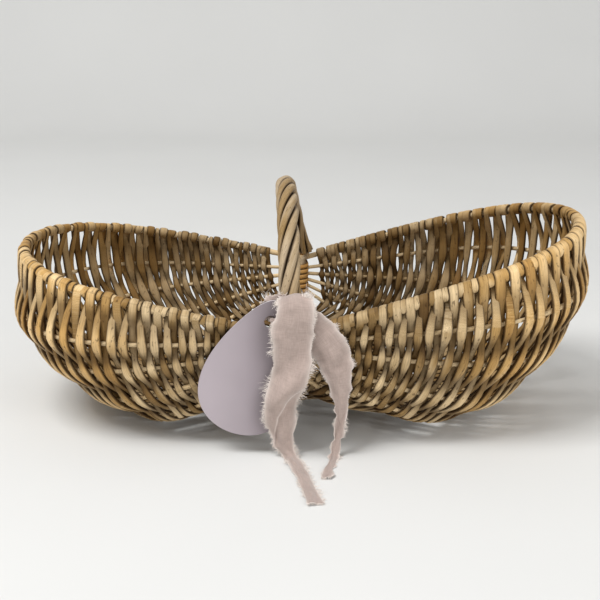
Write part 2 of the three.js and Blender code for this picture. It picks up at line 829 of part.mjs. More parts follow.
addPiece('rim_hoop', rimHoop(), willowBark());
addPiece('handle_hoop', handleHoop(), willowHandle());
for (const side of ['left', 'right']) {
  for (let index = 1; index <= ribCount; index += 1) {
    addPiece(`${side}_rib_${index}`, rib(side, index), willowBark());
  }
}
for (let number = 0; number < handleRodCount; number += 1) {
  addPiece(`handle_rod_${number + 1}`, handleRod(number), willowHandle());
}
addPiece('front_lashing', lashing(frontFootShift, -1), peeledCane());
addPiece('back_lashing', lashing(rearFootShift, 1), peeledCane());
planRows().forEach((runs, w) => {
  addPiece(`weaver_${pad(w + 1)}`, weaver(runs), willowWeaver(w / (weaverCount - 1)));
});
addPiece('ribbon', ribbon(), cottonRibbon());
addPiece('card_tag', cardTag(), lilacCard());

// The origin goes under the middle of the whole part
const box = new THREE.Box3().setFromObject(basket);
const middle = box.getCenter(new THREE.Vector3());
basket.children.forEach((mesh) => mesh.geometry.translate(-middle.x, -middle.y, -box.min.z));

export default basket;
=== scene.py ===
"""Ribbed willow hand basket with a twisted bow handle, a cloth ribbon and a card tag.

Metres, +Z up, +X along the basket, +Y from the front to the back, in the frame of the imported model.
"""
from functools import partial

import bpy
import numpy as np
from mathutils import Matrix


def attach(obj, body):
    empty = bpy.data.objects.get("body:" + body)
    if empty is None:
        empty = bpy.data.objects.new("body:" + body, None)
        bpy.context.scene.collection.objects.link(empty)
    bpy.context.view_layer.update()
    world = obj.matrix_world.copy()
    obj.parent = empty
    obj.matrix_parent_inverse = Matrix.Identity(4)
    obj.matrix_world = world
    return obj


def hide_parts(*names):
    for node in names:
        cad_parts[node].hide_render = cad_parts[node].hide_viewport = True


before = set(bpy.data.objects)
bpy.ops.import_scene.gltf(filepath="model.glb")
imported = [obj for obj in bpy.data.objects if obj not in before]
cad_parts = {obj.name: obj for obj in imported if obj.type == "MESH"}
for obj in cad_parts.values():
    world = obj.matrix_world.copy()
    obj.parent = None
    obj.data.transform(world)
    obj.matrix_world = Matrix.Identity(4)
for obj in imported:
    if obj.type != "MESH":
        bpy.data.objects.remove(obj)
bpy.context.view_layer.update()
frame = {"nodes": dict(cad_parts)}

bl_info = {
    "name": "Ribbed Willow Basket",
    "version": (1, 0, 0),
    "blender": (4, 5, 0),
    "location": "3D View > Sidebar > Basket",
    "description": "Builds a ribbed willow hand basket with its handle, weave, ribbon and card tag",
    "category": "Add Mesh",
}

LEFT, RIGHT = 0, 1
RIB_COUNT = 5
SPINE = RIB_COUNT + 1
WEAVERS = 32
LOW_ROWS = 2 * WEAVERS
RIM_ROWS = 3 * WEAVERS
TURN_RIB = 4
BODY = "basket"
TAG_BODY = "tag"
ACROSS = np.array([1.0, 0.0, 0.0])
UP = np.array([0.0, 0.0, 1.0])
# Squareness of a round rod's section and of a pressed one's
ROUND, PRESSED = 2.0, 2.4
SEEDS = {"rows": 11, "rods": 3, "strands": 29, "handle": 17, "cane": 5}

# From the middle between the basket's nodes to the origin of the frame
CENTRING = np.array([-0.00137, 0.04299, 0.0])


def lin(red, green, blue):
    """A colour given as the eye's 0 to 255 levels, as linear light."""
    levels = np.array([red, green, blue]) / 255.0
    low = levels / 12.92
    high = ((levels + 0.055) / 1.055) ** 2.4
    return tuple(float(v) for v in np.where(levels <= 0.04045, low, high))


def row(kind, text, default, **limits):
    """A property that takes its name from its key when its group is made."""
    return partial(kind, description=text, default=default, **limits)


def length(default, text):
    """A length in metres."""
    return row(bpy.props.FloatProperty, text, default, unit="LENGTH", precision=4)


def share(default, text):
    """A plain number."""
    return row(bpy.props.FloatProperty, text, default, precision=3)


def whole(default, low, high, text):
    """A whole number."""
    return row(bpy.props.IntProperty, text, default, min=low, max=high)


def leaning(degrees, text):
    """An angle, given in degrees."""
    return row(bpy.props.FloatProperty, text, float(np.radians(degrees)), subtype="ANGLE")


def located(x, y, z, text):
    """A place in metres."""
    return row(bpy.props.FloatVectorProperty, text, (x, y, z), subtype="XYZ", size=3, unit="LENGTH")


def paint(red, green, blue, text):
    """A colour, given as the eye's 0 to 255 levels."""
    limits = {"subtype": "COLOR", "size": 3, "min": 0, "max": 1}
    return row(bpy.props.FloatVectorProperty, text, lin(red, green, blue), **limits)


def group(kind):
    """A group inside a group."""
    return partial(bpy.props.PointerProperty, type=kind)


def named(kind):
    """Makes a group's properties, each named after its key."""
    for key, make in kind.__annotations__.items():
        kind.__annotations__[key] = make(name=key.replace("_", " ").capitalize())
    return kind


@named
class BasketFrameSizes(bpy.types.PropertyGroup):
    """Sizes of the rim, the ribs and the hoop."""

    reach_left: length(0.235, "How far the left end stands out from the middle")
    reach_right: length(0.238, "How far the right end stands out from the middle")
    rim_left: length(0.1385, "Height of the rim at the left end")
    rim_right: length(0.1605, "Height of the rim at the right end")
    node_height: length(0.094, "Height of the rim at the front and back nodes")
    node_depth: length(0.118, "How far the nodes stand out from the middle")
    rim_swell: length(0.067, "How far the rim swells beyond a circle's arc")
    rib_swell: length(0.109, "Swell of the first rib")
    spine_swell: length(0.024, "Swell of the spine")
    spine_height: length(0.0285, "Height of the spine under the middle")
    low_height: length(0.00475, "Height of the lowest rib")
    rim_radius: length(0.0026, "Radius of the rim rod")
    hoop_radius: length(0.0026, "Radius of the handle's core rod")
    rib_radius: length(0.0019, "Radius of a rib at its middle")
    tip_radius: length(0.0016, "Radius of a rib at its tip")
    gap: length(0.0003, "Clear gap between neighbouring rods")
    front_shift: length(-0.005, "Sideways place of the front node")
    rear_shift: length(0.002, "Sideways place of the back node")
    first_drop: length(0.0085, "Drop from the rim to the first rib at a node")
    drop_step: length(0.0049, "Drop from rib to rib at a node")


@named
class BasketWeaveSizes(bpy.types.PropertyGroup):
    """Sizes of the woven rods."""

    start: length(0.023, "Distance from a node to the first row")
    widest: length(0.0084, "Widest that a strand is pressed")
    thickest: length(0.0036, "Thickest that a strand is")
    thinnest: length(0.0017, "Thinnest that a strand is")
    press: share(0.78, "Thickness of a strand pressed round the rim, as a share of its own")
    cover: share(1.46, "Width of a strand over a rib, in row pitches")
    wrap: share(1.12, "Width of a strand round the rim, in row pitches")
    spread: share(1.25, "How far apart a strand's two laps round the rim lie, in row pitches")
    favour: share(0.3, "How much wider a lap round the rim is where it comes to the outside")
    waist: share(0.36, "How much narrower a strand is between two ribs")
    crowding: share(0.33, "How much closer the rows lie near the nodes")
    rim_crowding: share(0.2, "How much closer the rows lie near the nodes on the rim")
    aside: length(0.009, "How much farther left the rows stand at the back node")
    wander: share(0.16, "How far rows stray, in row pitches")
    grey_reach: length(0.165, "How far from the middle the willow has greyed")
    grey_blend: length(0.06, "Length over which the greying fades out")


@named
class BasketHandleSizes(bpy.types.PropertyGroup):
    """Sizes of the bow handle."""

    rise: length(0.091, "Height of the bow above the nodes")
    lean: length(-0.0095, "Sideways lean of the bow at its top")
    skew: share(0.8, "How much more the bow leans at the back than at the front")
    bulge: length(0.005, "How far the bow bulges to the right above the back node")
    bulge_rise: length(0.007, "Height of the bulge above the back node")
    rod_radius: length(0.0029, "Radius of a twisted rod")
    tip: share(0.68, "Radius of a twisted rod at its back end, in rod radii")
    taper: length(0.045, "Length over which a twisted rod tapers at the back")
    rods: whole(5, 3, 8, "Twisted rods round the core")
    lay: length(0.135, "Length of one full twist")
    lashing_radius: length(0.0014, "Radius of the lashing cane")
    turns: share(5.25, "Turns of the lashing under the rim")
    pitch: length(0.0049, "Pitch of the lashing")


@named
class BasketRibbonSizes(bpy.types.PropertyGroup):
    """Sizes of the cloth ribbon."""

    thickness: length(0.0007, "Thickness of the cloth")
    sleeve_foot: length(0.01, "Height of the sleeve's foot above the node")
    sleeve_height: length(0.018, "Height of the sleeve")
    fray: length(0.0023, "Length of the loose threads at the edges")
    thread: length(0.00019, "Radius of a loose thread")
    threads: whole(1000, 10, 2000, "Loose threads on a long edge")
    pass_radius: length(0.0034, "Radius of the gathered cloth in the tag's hole")


@named
class BasketTagSizes(bpy.types.PropertyGroup):
    """Sizes of the card tag."""

    tall: length(0.1125, "Height of the egg")
    wide: length(0.07, "Width of the egg where it would be even")
    narrow: share(0.38, "How much narrower the top is than the foot")
    thickness: length(0.0011, "Thickness of the card")
    hole_radius: length(0.005, "Radius of the hole")
    hole_inset: length(0.0172, "Distance from the top of the egg to the hole")
    tilt: leaning(19, "Lean of the tag, with its foot to the left")
    hook: located(-0.019, -0.1266, 0.1096, "Where the ribbon carries the tag")


@named
class BasketColours(bpy.types.PropertyGroup):
    """Colours of the willow, the cloth and the card."""

    straw: paint(246, 213, 160, "Light willow")
    tan: paint(206, 164, 101, "Brown willow")
    bark: paint(168, 126, 68, "Deep brown willow")
    pale: paint(220, 194, 152, "Light willow that has greyed")
    olive: paint(152, 123, 79, "Greyed willow near the nodes")
    # Also the painted shade where a strand runs inside the wall
    umber: paint(102, 76, 42, "Deep greyed willow")
    # Both bark flecks and painted shade: between the rods, along the sides of strands and cane, and on the
    # core side of the handle's twisted rods
    dark: paint(38, 16, 0, "Crevices and bark flecks")
    handle: paint(190, 170, 141, "Handle rods")
    cane: paint(196, 147, 84, "Lashing cane")
    cloth: paint(183, 164, 155, "Ribbon cloth")
    thread: paint(240, 230, 222, "Loose threads")
    # The tag's face where it is lit, and where the painted shade across it is darkest
    card: paint(180, 169, 175, "Face of the tag, light")
    card_deep: paint(118, 106, 110, "Face of the tag, deep")
    card_edge: paint(226, 220, 220, "Cut edge of the tag")
    floor: paint(222, 222, 220, "Floor and backdrop")


@named
class BasketStage(bpy.types.PropertyGroup):
    """Camera and lights."""

    focal: share(67.91, "Focal length in millimetres on a 36 mm wide sensor")
    across: length(0.01306, "Camera's place across")
    back: length(0.9366, "Camera's distance in front of the basket's middle")
    height: length(0.3709, "Camera's height")
    yaw: share(-0.013, "Camera's turn to the right, in radians")
    pitch: share(-0.294, "Camera's tilt upwards, in radians")
    key: share(47, "Power of the key light in watts")
    fill: share(17, "Power of the fill light in watts")
    sky: share(0.45, "Strength of the light from all round")
    ground: share(0.72, "How bright the sky looks to the camera and in reflections")


@named
class BasketSettings(bpy.types.PropertyGroup):
    """All the basket's settings."""

    frame: group(BasketFrameSizes)
    weave: group(BasketWeaveSizes)
    handle: group(BasketHandleSizes)
    ribbon: group(BasketRibbonSizes)
    tag: group(BasketTagSizes)
    colours: group(BasketColours)
    stage: group(BasketStage)


# Arrays


def mix(a, b, t):
    """a plus (b minus a) times t."""
    return a + (b - a) * t


def unit(vectors):
    """Each vector divided by its length."""
    return vectors / np.maximum(np.linalg.norm(vectors, axis=-1, keepdims=True), 1e-12)


def square_to(direction, vectors):
    """The unit part of each vector that stands square to a direction."""
    return unit(vectors - direction * np.sum(vectors * direction, -1, keepdims=True))


def circle(count):
    """Angles in equal steps round a circle."""
    return 2 * np.pi * np.arange(count) / count


def rings(side, other, angle):
    """At every pair of directions, the ways at the given angles from the first towards the second."""
    return side[:, None] * np.cos(angle)[:, None] + other[:, None] * np.sin(angle)[:, None]


def smooth_path(points, values, steps):
    """Centripetal Catmull-Rom curve through points, each span cut into steps.

    With knots t at the running sum of the square roots of the chords, each span is the cubic that meets
    its ends with the tangents of the parabola through the neighbours. values are carried along by the
    cosine blend of the span's ends. Returns the places and the values.
    """
    chord = np.sqrt(np.linalg.norm(np.diff(points, axis=0), axis=1)) + 1e-9
    p = np.vstack([2 * points[0] - points[1], points, 2 * points[-1] - points[-2]])
    d = np.concatenate([chord[:1], chord, chord[-1:]])
    d0, d1, d2 = d[:-2, None], d[1:-1, None], d[2:, None]
    p0, p1, p2, p3 = p[:-3], p[1:-2], p[2:-1], p[3:]
    m1 = d1 * ((p1 - p0) / d0 - (p2 - p0) / (d0 + d1) + (p2 - p1) / d1)
    m2 = d1 * ((p2 - p1) / d1 - (p3 - p1) / (d1 + d2) + (p3 - p2) / d2)
    t = (np.arange(steps) / steps)[None, :, None]
    a, b, c, e = p1[:, None], p2[:, None], m1[:, None], m2[:, None]
    spans = (2 * a - 2 * b + c + e) * t**3 + (-3 * a + 3 * b - 2 * c - e) * t**2 + c * t + a
    places = np.vstack([spans.reshape(-1, 3), points[-1:]])
    blend = (1 - np.cos(np.pi * t)) / 2
    carried = mix(values[:-1][:, None], values[1:][:, None], blend)
    carried = np.vstack([carried.reshape(-1, values.shape[1]), values[-1:]])
    return places, carried


def running(points):
    """The running length along a line of points."""
    return np.concatenate([[0.0], np.cumsum(np.linalg.norm(np.diff(points, axis=0), axis=1))])


def along(run, line, distance):
    """The places at the given distances along a line whose running length is run."""
    return np.stack([np.interp(distance, run, line[:, k]) for k in range(3)], 1)


def noise_line(rng, count, knots):
    """Smooth noise of about unit size along count samples, a cosine blend between random knots."""
    values = rng.normal(0, 1, knots + 1)
    x = np.linspace(0, knots, count, endpoint=False)
    i = x.astype(int)
    t = (1 - np.cos(np.pi * (x - i))) / 2
    return mix(values[i], values[i + 1], t)


# Meshes


def put_mesh(name, grid, u, v, closed=False, **layers):
    """A mesh from a grid of points, rows by columns, whose columns close on themselves.

    Its first and last rows join where it is closed, and have caps where it isn't. u and v give each
    corner's pattern place. layers are values that the points carry.
    """
    rows, columns = grid.shape[:2]
    i, j = np.meshgrid(np.arange(rows if closed else rows - 1), np.arange(columns), indexing="ij")
    i, j = i.ravel(), j.ravel()
    k, n = (j + 1) % columns, (i + 1) % rows
    quads = np.stack([i * columns + j, i * columns + k, n * columns + k, n * columns + j], 1)
    faces = quads.tolist()
    if not closed:
        faces += [list(range(columns))[::-1], list(range((rows - 1) * columns, rows * columns))]
    mesh = bpy.data.meshes.new(name)
    mesh.from_pydata((grid + CENTRING).reshape(-1, 3), [], faces)
    uv = np.zeros((len(mesh.loops), 2), np.float32)
    uv[: quads.size, 0] = np.stack([u[i], u[i], u[i + 1], u[i + 1]], 1).ravel()
    uv[: quads.size, 1] = np.stack([v[j], v[j + 1], v[j + 1], v[j]], 1).ravel()
    mesh.uv_layers.new(name="along").data.foreach_set("uv", uv.ravel())
    for layer, values in layers.items():
        attribute = mesh.attributes.new(layer, "FLOAT", "POINT")
        spread = np.broadcast_to(values, (rows, columns)).astype(np.float32)
        attribute.data.foreach_set("value", spread.ravel())
    mesh.polygons.foreach_set("use_smooth", np.arange(len(faces)) < len(quads))
    mesh.validate()
    mesh.update()
    return mesh


def round_side(centre):
    """Ways square to a line and to the x axis, or to the y axis where the line runs near x, none flipped."""
    direction = unit(np.gradient(centre, axis=0))
    helper = np.where(np.abs(direction[:, :1]) < 0.8, [[1.0, 0, 0]], [[0, 1.0, 0]])
    side = unit(np.cross(helper, direction))
    same = np.sign(np.sum(side[1:] * side[:-1], 1))
    side[1:] *= np.cumprod(np.where(same == 0, 1, same))[:, None]
    return side


def add_piece(name, mesh, material, nodes, slot, body=BODY):
    """Puts a mesh in the scene as a piece that rides on a body and stands for nodes; its slot is not used.
    """
    piece = bpy.data.objects.new(name, mesh)
    bpy.context.scene.collection.objects.link(piece)
    mesh.materials.append(material)
    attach(piece, body)
    if nodes:
        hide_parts(*nodes)
    return piece


def add_rod(
    name, node_name, slot, material, centre, side, wide, thick, columns, square=ROUND, closed=False, **marks
):
    """Carries a rod or strand along a centre line, and adds it as the piece that stands for a node.

    Each ring is the superellipse whose cosine arm is wide along side and whose sine arm is thick along
    the cross product of side and the line's direction. marks are values that each ring carries.
    """
    direction = np.roll(centre, -1, 0) - np.roll(centre, 1, 0) if closed else np.gradient(centre, axis=0)
    direction = unit(direction)
    side = square_to(direction, np.array(side, float))
    angle = circle(columns)
    cos, sin = (np.sign(arm) * np.abs(arm) ** (2.0 / square) for arm in (np.cos(angle), np.sin(angle)))
    wide, thick = (np.broadcast_to(half, len(centre)) for half in (wide, thick))
    grid = centre[:, None] + side[:, None] * (cos[:, None] * wide[:, None, None])
    grid = grid + np.cross(side, direction)[:, None] * (sin[:, None] * thick[:, None, None])
    u = running(centre)
    if closed:
        u = np.append(u, u[-1] + np.linalg.norm(centre[0] - centre[-1]))
    v = np.linspace(0, float(np.mean(wide + thick)) * np.pi, columns + 1)
    layers = {key: value[:, None] for key, value in marks.items()}
    mesh = put_mesh(name, grid, u, v, closed, **layers, across=np.cos(angle))
    return add_piece(name, mesh, material, [node_name], slot)


# Shape of the frame

# Reach of the rim, the ribs and the spine as shares of an end's, and heights of the rim and four ribs, left
# and right, as shares of the way up from the lowest rib to the rim
REACH = np.array([0.983, 1, 0.911, 0.746, 0.551, 0.288, 0])
RISE = np.array([[1, 0.635, 0.369, 0.129, 0], [1, 0.7, 0.385, 0.113, 0]])
# Fullness of the rim, the first rib and the spine, and the share of the way from the lowest rib's height to
# the spine's at which the fifth rib lies
RIM_FULL, RIB_FULL, SPINE_FULL, INNER_RISE = 1.185, 1.19, 0.62, 0.52
# Steps along a frame rod
FINE = 264
# How far along a rod its direction is taken, to each side
SIGHT = 0.006


def frame_line(s, side, index):
    """One frame rod from the front node round an end to the back node.

    With turn from 0 to pi and out the sine of turn to the power of fullness: across is reach times out,
    depth is minus the cosine of turn times (node depth plus swell times the sine squared), and the height
    goes from the node's to the end's with out.
    """
    part = max(index - 1, 0) / (SPINE - 1)
    full = RIM_FULL if index == 0 else mix(RIB_FULL, SPINE_FULL, part)
    swell = s.rim_swell if index == 0 else mix(s.rib_swell, s.spine_swell, part)
    depth = s.node_depth - (0 if index == 0 else s.rim_radius + s.gap + s.hoop_radius)
    reach = (s.reach_left, s.reach_right)[side] * REACH[index]
    rim = (s.rim_left, s.rim_right)[side]
    if index == SPINE:
        height = s.spine_height
    elif index == RIB_COUNT:
        height = mix(s.low_height, s.spine_height, INNER_RISE)
    else:
        height = mix(s.low_height, rim, RISE[side][index])
    node = s.node_height - (0 if index == 0 else s.first_drop + s.drop_step * (index - 1))
    turn = np.linspace(0, np.pi, FINE + 1)
    out = np.maximum(np.sin(turn), 0) ** full
    out[[0, -1]] = 0
    shift = np.where(turn < np.pi / 2, s.front_shift, s.rear_shift) * np.cos(turn) ** 2
    x = (-1 if side == LEFT else 1) * reach * out + shift
    y = -np.cos(turn) * (depth + swell * np.sin(turn) ** 2)
    return np.stack([x, y, mix(node, height, out)], 1)


def rod_radius(s, index, part):
    """Ribs are shaved thin at their tips, by the sine of the share of their length."""
    if index == 0:
        return s.rim_radius + 0 * part
    if index == SPINE:
        return s.hoop_radius + 0 * part
    return mix(s.tip_radius, s.rib_radius, np.sin(np.pi * np.clip(part, 0, 1)))


class Frame:
    """Where the rows cross the frame rods: places, the rods' directions and radii, and the rows' pitches."""

    def __init__(self, settings):
        self.s, self.w = settings.frame, settings.weave
        shape = (2, SPINE + 1, RIM_ROWS)
        self.place, self.direction = np.zeros((2, *shape, 3))
        self.pitch, self.radius = np.zeros((2, *shape))
        rng = np.random.default_rng(SEEDS["rows"])
        for side in (LEFT, RIGHT):
            for index in range(SPINE + 1):
                self.measure(side, index, rng)

    def measure(self, side, index, rng):
        """Rows cross a rod at equal shares of its length, crowded towards the nodes by a sine.

        At the back node they stand farther off on the left than on the right.
        """
        s, w = self.s, self.w
        rows = RIM_ROWS if index < RIB_COUNT else LOW_ROWS
        line = frame_line(s, side, index)
        run = running(line)
        aside = w.aside * (1 - index / SPINE) * (1 if side == LEFT else -1)
        span = run[-1] - 2 * w.start - aside
        part = (np.arange(rows) + 0.5) / rows
        crowd = mix(w.crowding, 0, index / SPINE) if index else w.rim_crowding
        spread = part - crowd / (2 * np.pi) * np.sin(2 * np.pi * part)
        pitch = span / rows * (1 - crowd * np.cos(2 * np.pi * part))
        distance = w.start + span * spread + pitch * w.wander * rng.normal(0, 1, rows)
        here = side, index, slice(rows)
        ahead, behind = along(run, line, distance + SIGHT), along(run, line, distance - SIGHT)
        self.place[here] = along(run, line, distance)
        self.direction[here] = unit(ahead - behind)
        self.pitch[here] = pitch
        self.radius[here] = rod_radius(s, index, distance / run[-1])


# Weave

# What a point of a strand carries after its way across: widths, side of the rod and marks
WIDTH, THICK, FACE, TURNING, TINT, AT_RIM = range(3, 9)
# Degrees that a strand goes round the rim, round a rib, and over the rim at its own ends, and their step
STRAND_TURNS, TURN_STEP = (540, 180, 225), 45
# Points from one rod to the next
STRAND_STEPS = 7
# Thickness of a strand as a share of its width, and how its ends grow thin: over this length, to this share
FLATNESS = 0.47
END_TAPER, END_SHARE = 0.03, 0.9
# A strand's size: how far it strays from the mean, and the least and the most
SIZE_STRAY, SIZE_LEAST, SIZE_MOST = 0.1, 0.85, 1.12
# How far a strand's width strays along it, and how much thicker it gets between two ribs
WIDTH_STRAY, BETWEEN_THICKER = 0.05, 0.12
# How much weaker its painted shade between the rods is on a rod's side, and how much its tint changes its
# greying
CREVICE_SHADE_LOSS, TINT_FADE = 0.3, 0.25


def plan_rows():
    """The rows of every weaver as lists of (side, row at the rim, row below, rod).

    Each weaver goes to the far rim and back, with one short pair of rows in an end that turns at the
    fourth rib.
    """
    left_rows, right_rows = iter(range(RIM_ROWS)), iter(range(RIM_ROWS))

    def across(low):
        left, right = next(left_rows), next(right_rows)
        there = [(LEFT, left, low, i) for i in range(SPINE + 1)]
        return there + [(RIGHT, right, low, i) for i in range(SPINE - 1, -1, -1)]

    def pair(side, rows, low):
        ribs = range(TURN_RIB + 1)
        down, up = next(rows), next(rows)
        return [[(side, down, low, i) for i in ribs], [(side, up, low, i) for i in reversed(ribs)]]

    weavers = []
    for low in range(0, LOW_ROWS, 2):
        odd = low // 2 % 2
        runs = pair(LEFT, left_rows, low) if odd else []
        runs.append(across(low))
        runs += [] if odd else pair(RIGHT, right_rows, low + 1)
        runs.append(across(low + 1)[::-1])
        weavers.append(runs)
    return weavers


def stations(woven, run):
    """Where one row crosses the rods: places, ways out of the basket, ways up to the rim, and sides.

    The way out is across both the rod's direction and the line from the rod below to the rod above,
    evened along the row three times by a quarter, a half and a quarter.
    """
    side, rim, low, index = np.array(run).T

    def at(values, side, index):
        return values[side, index, np.where(index < RIB_COUNT, rim, low)]

    place, direction = at(woven.place, side, index), at(woven.direction, side, index)
    at_spine = index == SPINE
    above = at(woven.place, side, np.maximum(index - 1, 0))
    below = at(woven.place, np.where(at_spine, 1 - side, side), np.where(at_spine, RIB_COUNT, index + 1))
    to_rim = square_to(direction, above - below)
    out = unit(np.cross(direction, to_rim))
    middle = np.array([0, 0, woven.s.node_height])
    out *= np.where(np.sum(out * (place - middle), 1) < 0, -1, 1)[:, None]
    for _ in range(3):
        padded = np.vstack([out[:1], out, out[-1:]])
        out = unit(padded[:-2] + 2 * out + padded[2:])
    found = {"place": place, "direction": direction, "out": out, "to_rim": to_rim, "index": index}
    found["pitch"], found["radius"] = at(woven.pitch, side, index), at(woven.radius, side, index)
    found["outside"] = np.where((rim + index) % 2 == 0, 1.0, -1.0)
    return found


def round_rod(end, begin, angles, parts, mark, favour=0.0):
    """Places and marks of a strand that goes round a rod from one row's end to the next row's beginning.

    Each place is the rod's, plus the strand's distance times the cosine of the angle on the row's own side
    and its sine on the rim's side. mark is the strand's distance, width, thickness and tint there, and
    favour is how much wider than the mean it is where it comes to the outside.
    """
    off, width, thick, tint = mark
    ones = np.ones(len(angles))
    more = favour * end["outside"]
    width = mix(width, width * (1 - more) / (1 + more), angles / angles.max())
    spot = mix(end["place"], begin["place"], parts[:, None])
    outward = unit(mix(end["out"], begin["out"], parts[:, None]))
    rimward = unit(mix(end["to_rim"], begin["to_rim"], parts[:, None])) * (1 if end["index"] == 0 else -1)
    side = end["outside"] * np.cos(angles)
    places = spot + (outward * side[:, None] + rimward * np.sin(angles)[:, None]) * off
    direction = np.repeat(end["direction"][None], len(angles), 0)
    rim = ones * (end["index"] == 0)
    return places, np.column_stack([direction, width, ones * thick, side, ones, ones * tint, rim])


def strand(woven, runs, rng):
    """One weaver as a centre line with the way across, the widths and the marks that its points carry.

    At each rod the line stands off by the rod's radius plus half the strand's thickness, outside and
    inside in turn. At a row's end it goes round the rod: half a turn round a rib, one and a half turns
    round the rim, and over the rim at the weaver's own two ends.
    """
    w = woven.w
    places, values = [], []
    size = np.clip(1 + SIZE_STRAY * rng.normal(), SIZE_LEAST, SIZE_MOST)
    round_rim, round_rib, over = (np.radians(np.arange(0, turn + 1, TURN_STEP)) for turn in STRAND_TURNS)
    rows = [stations(woven, run) for run in runs]
    for r, row in enumerate(rows):
        rim, face = row["index"] == 0, row["outside"]
        width = np.minimum(row["pitch"] * w.cover, w.widest) * size
        width = np.where(rim, row["pitch"] * w.wrap * (1 + w.favour * face), width)
        thick = np.clip(width * FLATNESS, w.thinnest, w.thickest)
        thick = np.where(rim, thick * w.press, thick)
        off = row["radius"] + thick / 2
        tint = rng.random()
        first, last = ({key: value[k] for key, value in row.items()} for k in (0, -1))
        at_first, at_last = ((off[k], width[k], thick[k], tint) for k in (0, -1))
        if r == 0:
            tuck = round_rod(first, first, over[::-1], over * 0, at_first)
            places.append(tuck[0][:-1])
            values.append(tuck[1][:-1])
        keep = slice(min(r, 1), -1)
        places.append((row["place"] + row["out"] * (off * face)[:, None])[keep])
        marks = [row["direction"], width, thick, face, 0 * width, 0 * width + tint, rim]
        values.append(np.column_stack(marks)[keep])
        if r + 1 < len(rows):
            begin = {key: value[0] for key, value in rows[r + 1].items()}
            angles, spread, favour = (round_rim, w.spread, w.favour) if rim[-1] else (round_rib, 1, 0)
            parts = 0.5 + (angles / angles[-1] - 0.5) * spread
            turned = round_rod(last, begin, angles, parts, at_last, favour)
        else:
            turned = round_rod(last, last, over, over * 0, at_last)
        places.append(turned[0])
        values.append(turned[1])
    places, values = np.vstack(places), np.vstack(values)
    flips = np.sum(values[1:, :3] * values[:-1, :3], 1)
    values[1:, :3] *= np.cumprod(np.where(flips < 0, -1, 1))[:, None]
    centre, carried = smooth_path(places, values, STRAND_STEPS)
    between = np.tile(np.sin(np.pi * np.arange(STRAND_STEPS) / STRAND_STEPS) ** 2, len(places) - 1)
    between = np.append(between, 0) * (1 - carried[:, TURNING])
    waist = w.waist * between * np.clip(1 - 2 * carried[:, AT_RIM], 0, 1)
    width = carried[:, WIDTH] * (1 - waist)
    width *= 1 + WIDTH_STRAY * noise_line(rng, len(centre), max(len(places), 4))
    thick = carried[:, THICK] * (1 + BETWEEN_THICKER * between)
    run = running(centre)
    shrink = mix(END_SHARE, 1, np.clip(np.minimum(run, run[-1] - run) / END_TAPER, 0, 1))
    face, tint = carried[:, FACE], carried[:, TINT]
    marks = {
        # Painted shade halfway between two rods, where the strand crosses through the wall
        "crevice": between * (1 - CREVICE_SHADE_LOSS * np.abs(face)),
        # Marks where the strand runs inside the wall, which the willow darkens as painted shade
        "inner": np.clip(0.5 - face * 0.5, 0, 1),
        "tint": tint,
        "shade": noise_line(rng, len(centre), max(len(places) // 2, 4)),
        "fade": np.clip((w.grey_reach - np.abs(centre[:, 0])) / w.grey_blend + TINT_FADE * tint, 0, 1),
    }
    return centre, carried[:, :3], width * shrink / 2, thick * shrink / 2, marks


# Handle

# Points on the bow's line, on a twisted rod, on a turn of the lashing and on its way over the rim
BOW_POINTS, ROD_POINTS, TURN_POINTS, OVER_POINTS = 400, 300, 20, 13
# How far a twisted rod strays in its turn and in its thickness
TURN_STRAY, THICKNESS_STRAY = 0.05, 0.04


def bow_line(settings, part):
    """The bow of the handle: with turn pi times part, depth is minus the cosine and rise the sine.

    It leans by the sine, more so at the back, and bulges above the back node by foot times e to the one
    less foot, where foot is the rise in bulge rises.
    """
    s, h = settings.frame, settings.handle
    turn = np.pi * part
    depth = s.node_depth - (s.rim_radius + s.gap + s.hoop_radius)
    rise = h.rise * np.sin(turn)
    foot = np.where(turn > np.pi / 2, rise / h.bulge_rise, 0)
    lean = h.lean * np.sin(turn) * (1 - h.skew * np.cos(turn))
    x = mix(s.front_shift, s.rear_shift, (1 - np.cos(turn)) / 2) + lean + h.bulge * foot * np.exp(1 - foot)
    return np.stack([x, -np.cos(turn) * depth, s.node_height + rise], -1)


def rim_wrap(settings):
    """How far from the middle of the rim rod the lashing's cane runs over it."""
    s, h = settings.frame, settings.handle
    return (s.rim_radius + 2 * s.gap + h.lashing_radius) / np.cos(np.pi / 8)


def handle_rod(settings, number, rng):
    """One twisted rod: a circle about the bow whose angle grows with the distance, thinner at the back."""
    s, h = settings.frame, settings.handle
    bow = bow_line(settings, np.linspace(0, 1, BOW_POINTS))
    run = running(bow)
    foot = rim_wrap(settings) + h.lashing_radius + s.gap + h.rod_radius
    distance = np.linspace(foot, run[-1] - foot, ROD_POINTS)
    centre = along(run, bow, distance)
    direction = unit(along(run, bow, distance + SIGHT / 2) - along(run, bow, distance - SIGHT / 2))
    side = square_to(direction, ACROSS)
    stray = TURN_STRAY * noise_line(rng, len(distance), 8)
    angle = 2 * np.pi * (distance / h.lay + number / h.rods) + stray
    radius = h.rod_radius * mix(h.tip, 1, np.minimum((distance[-1] - distance) / h.taper, 1))
    arm = side * np.cos(angle)[:, None] + np.cross(direction, side) * np.sin(angle)[:, None]
    line = centre + arm * (s.hoop_radius + s.gap + radius)[:, None]
    return line, arm, radius * (1.0 + THICKNESS_STRAY * noise_line(rng, len(distance), 14))


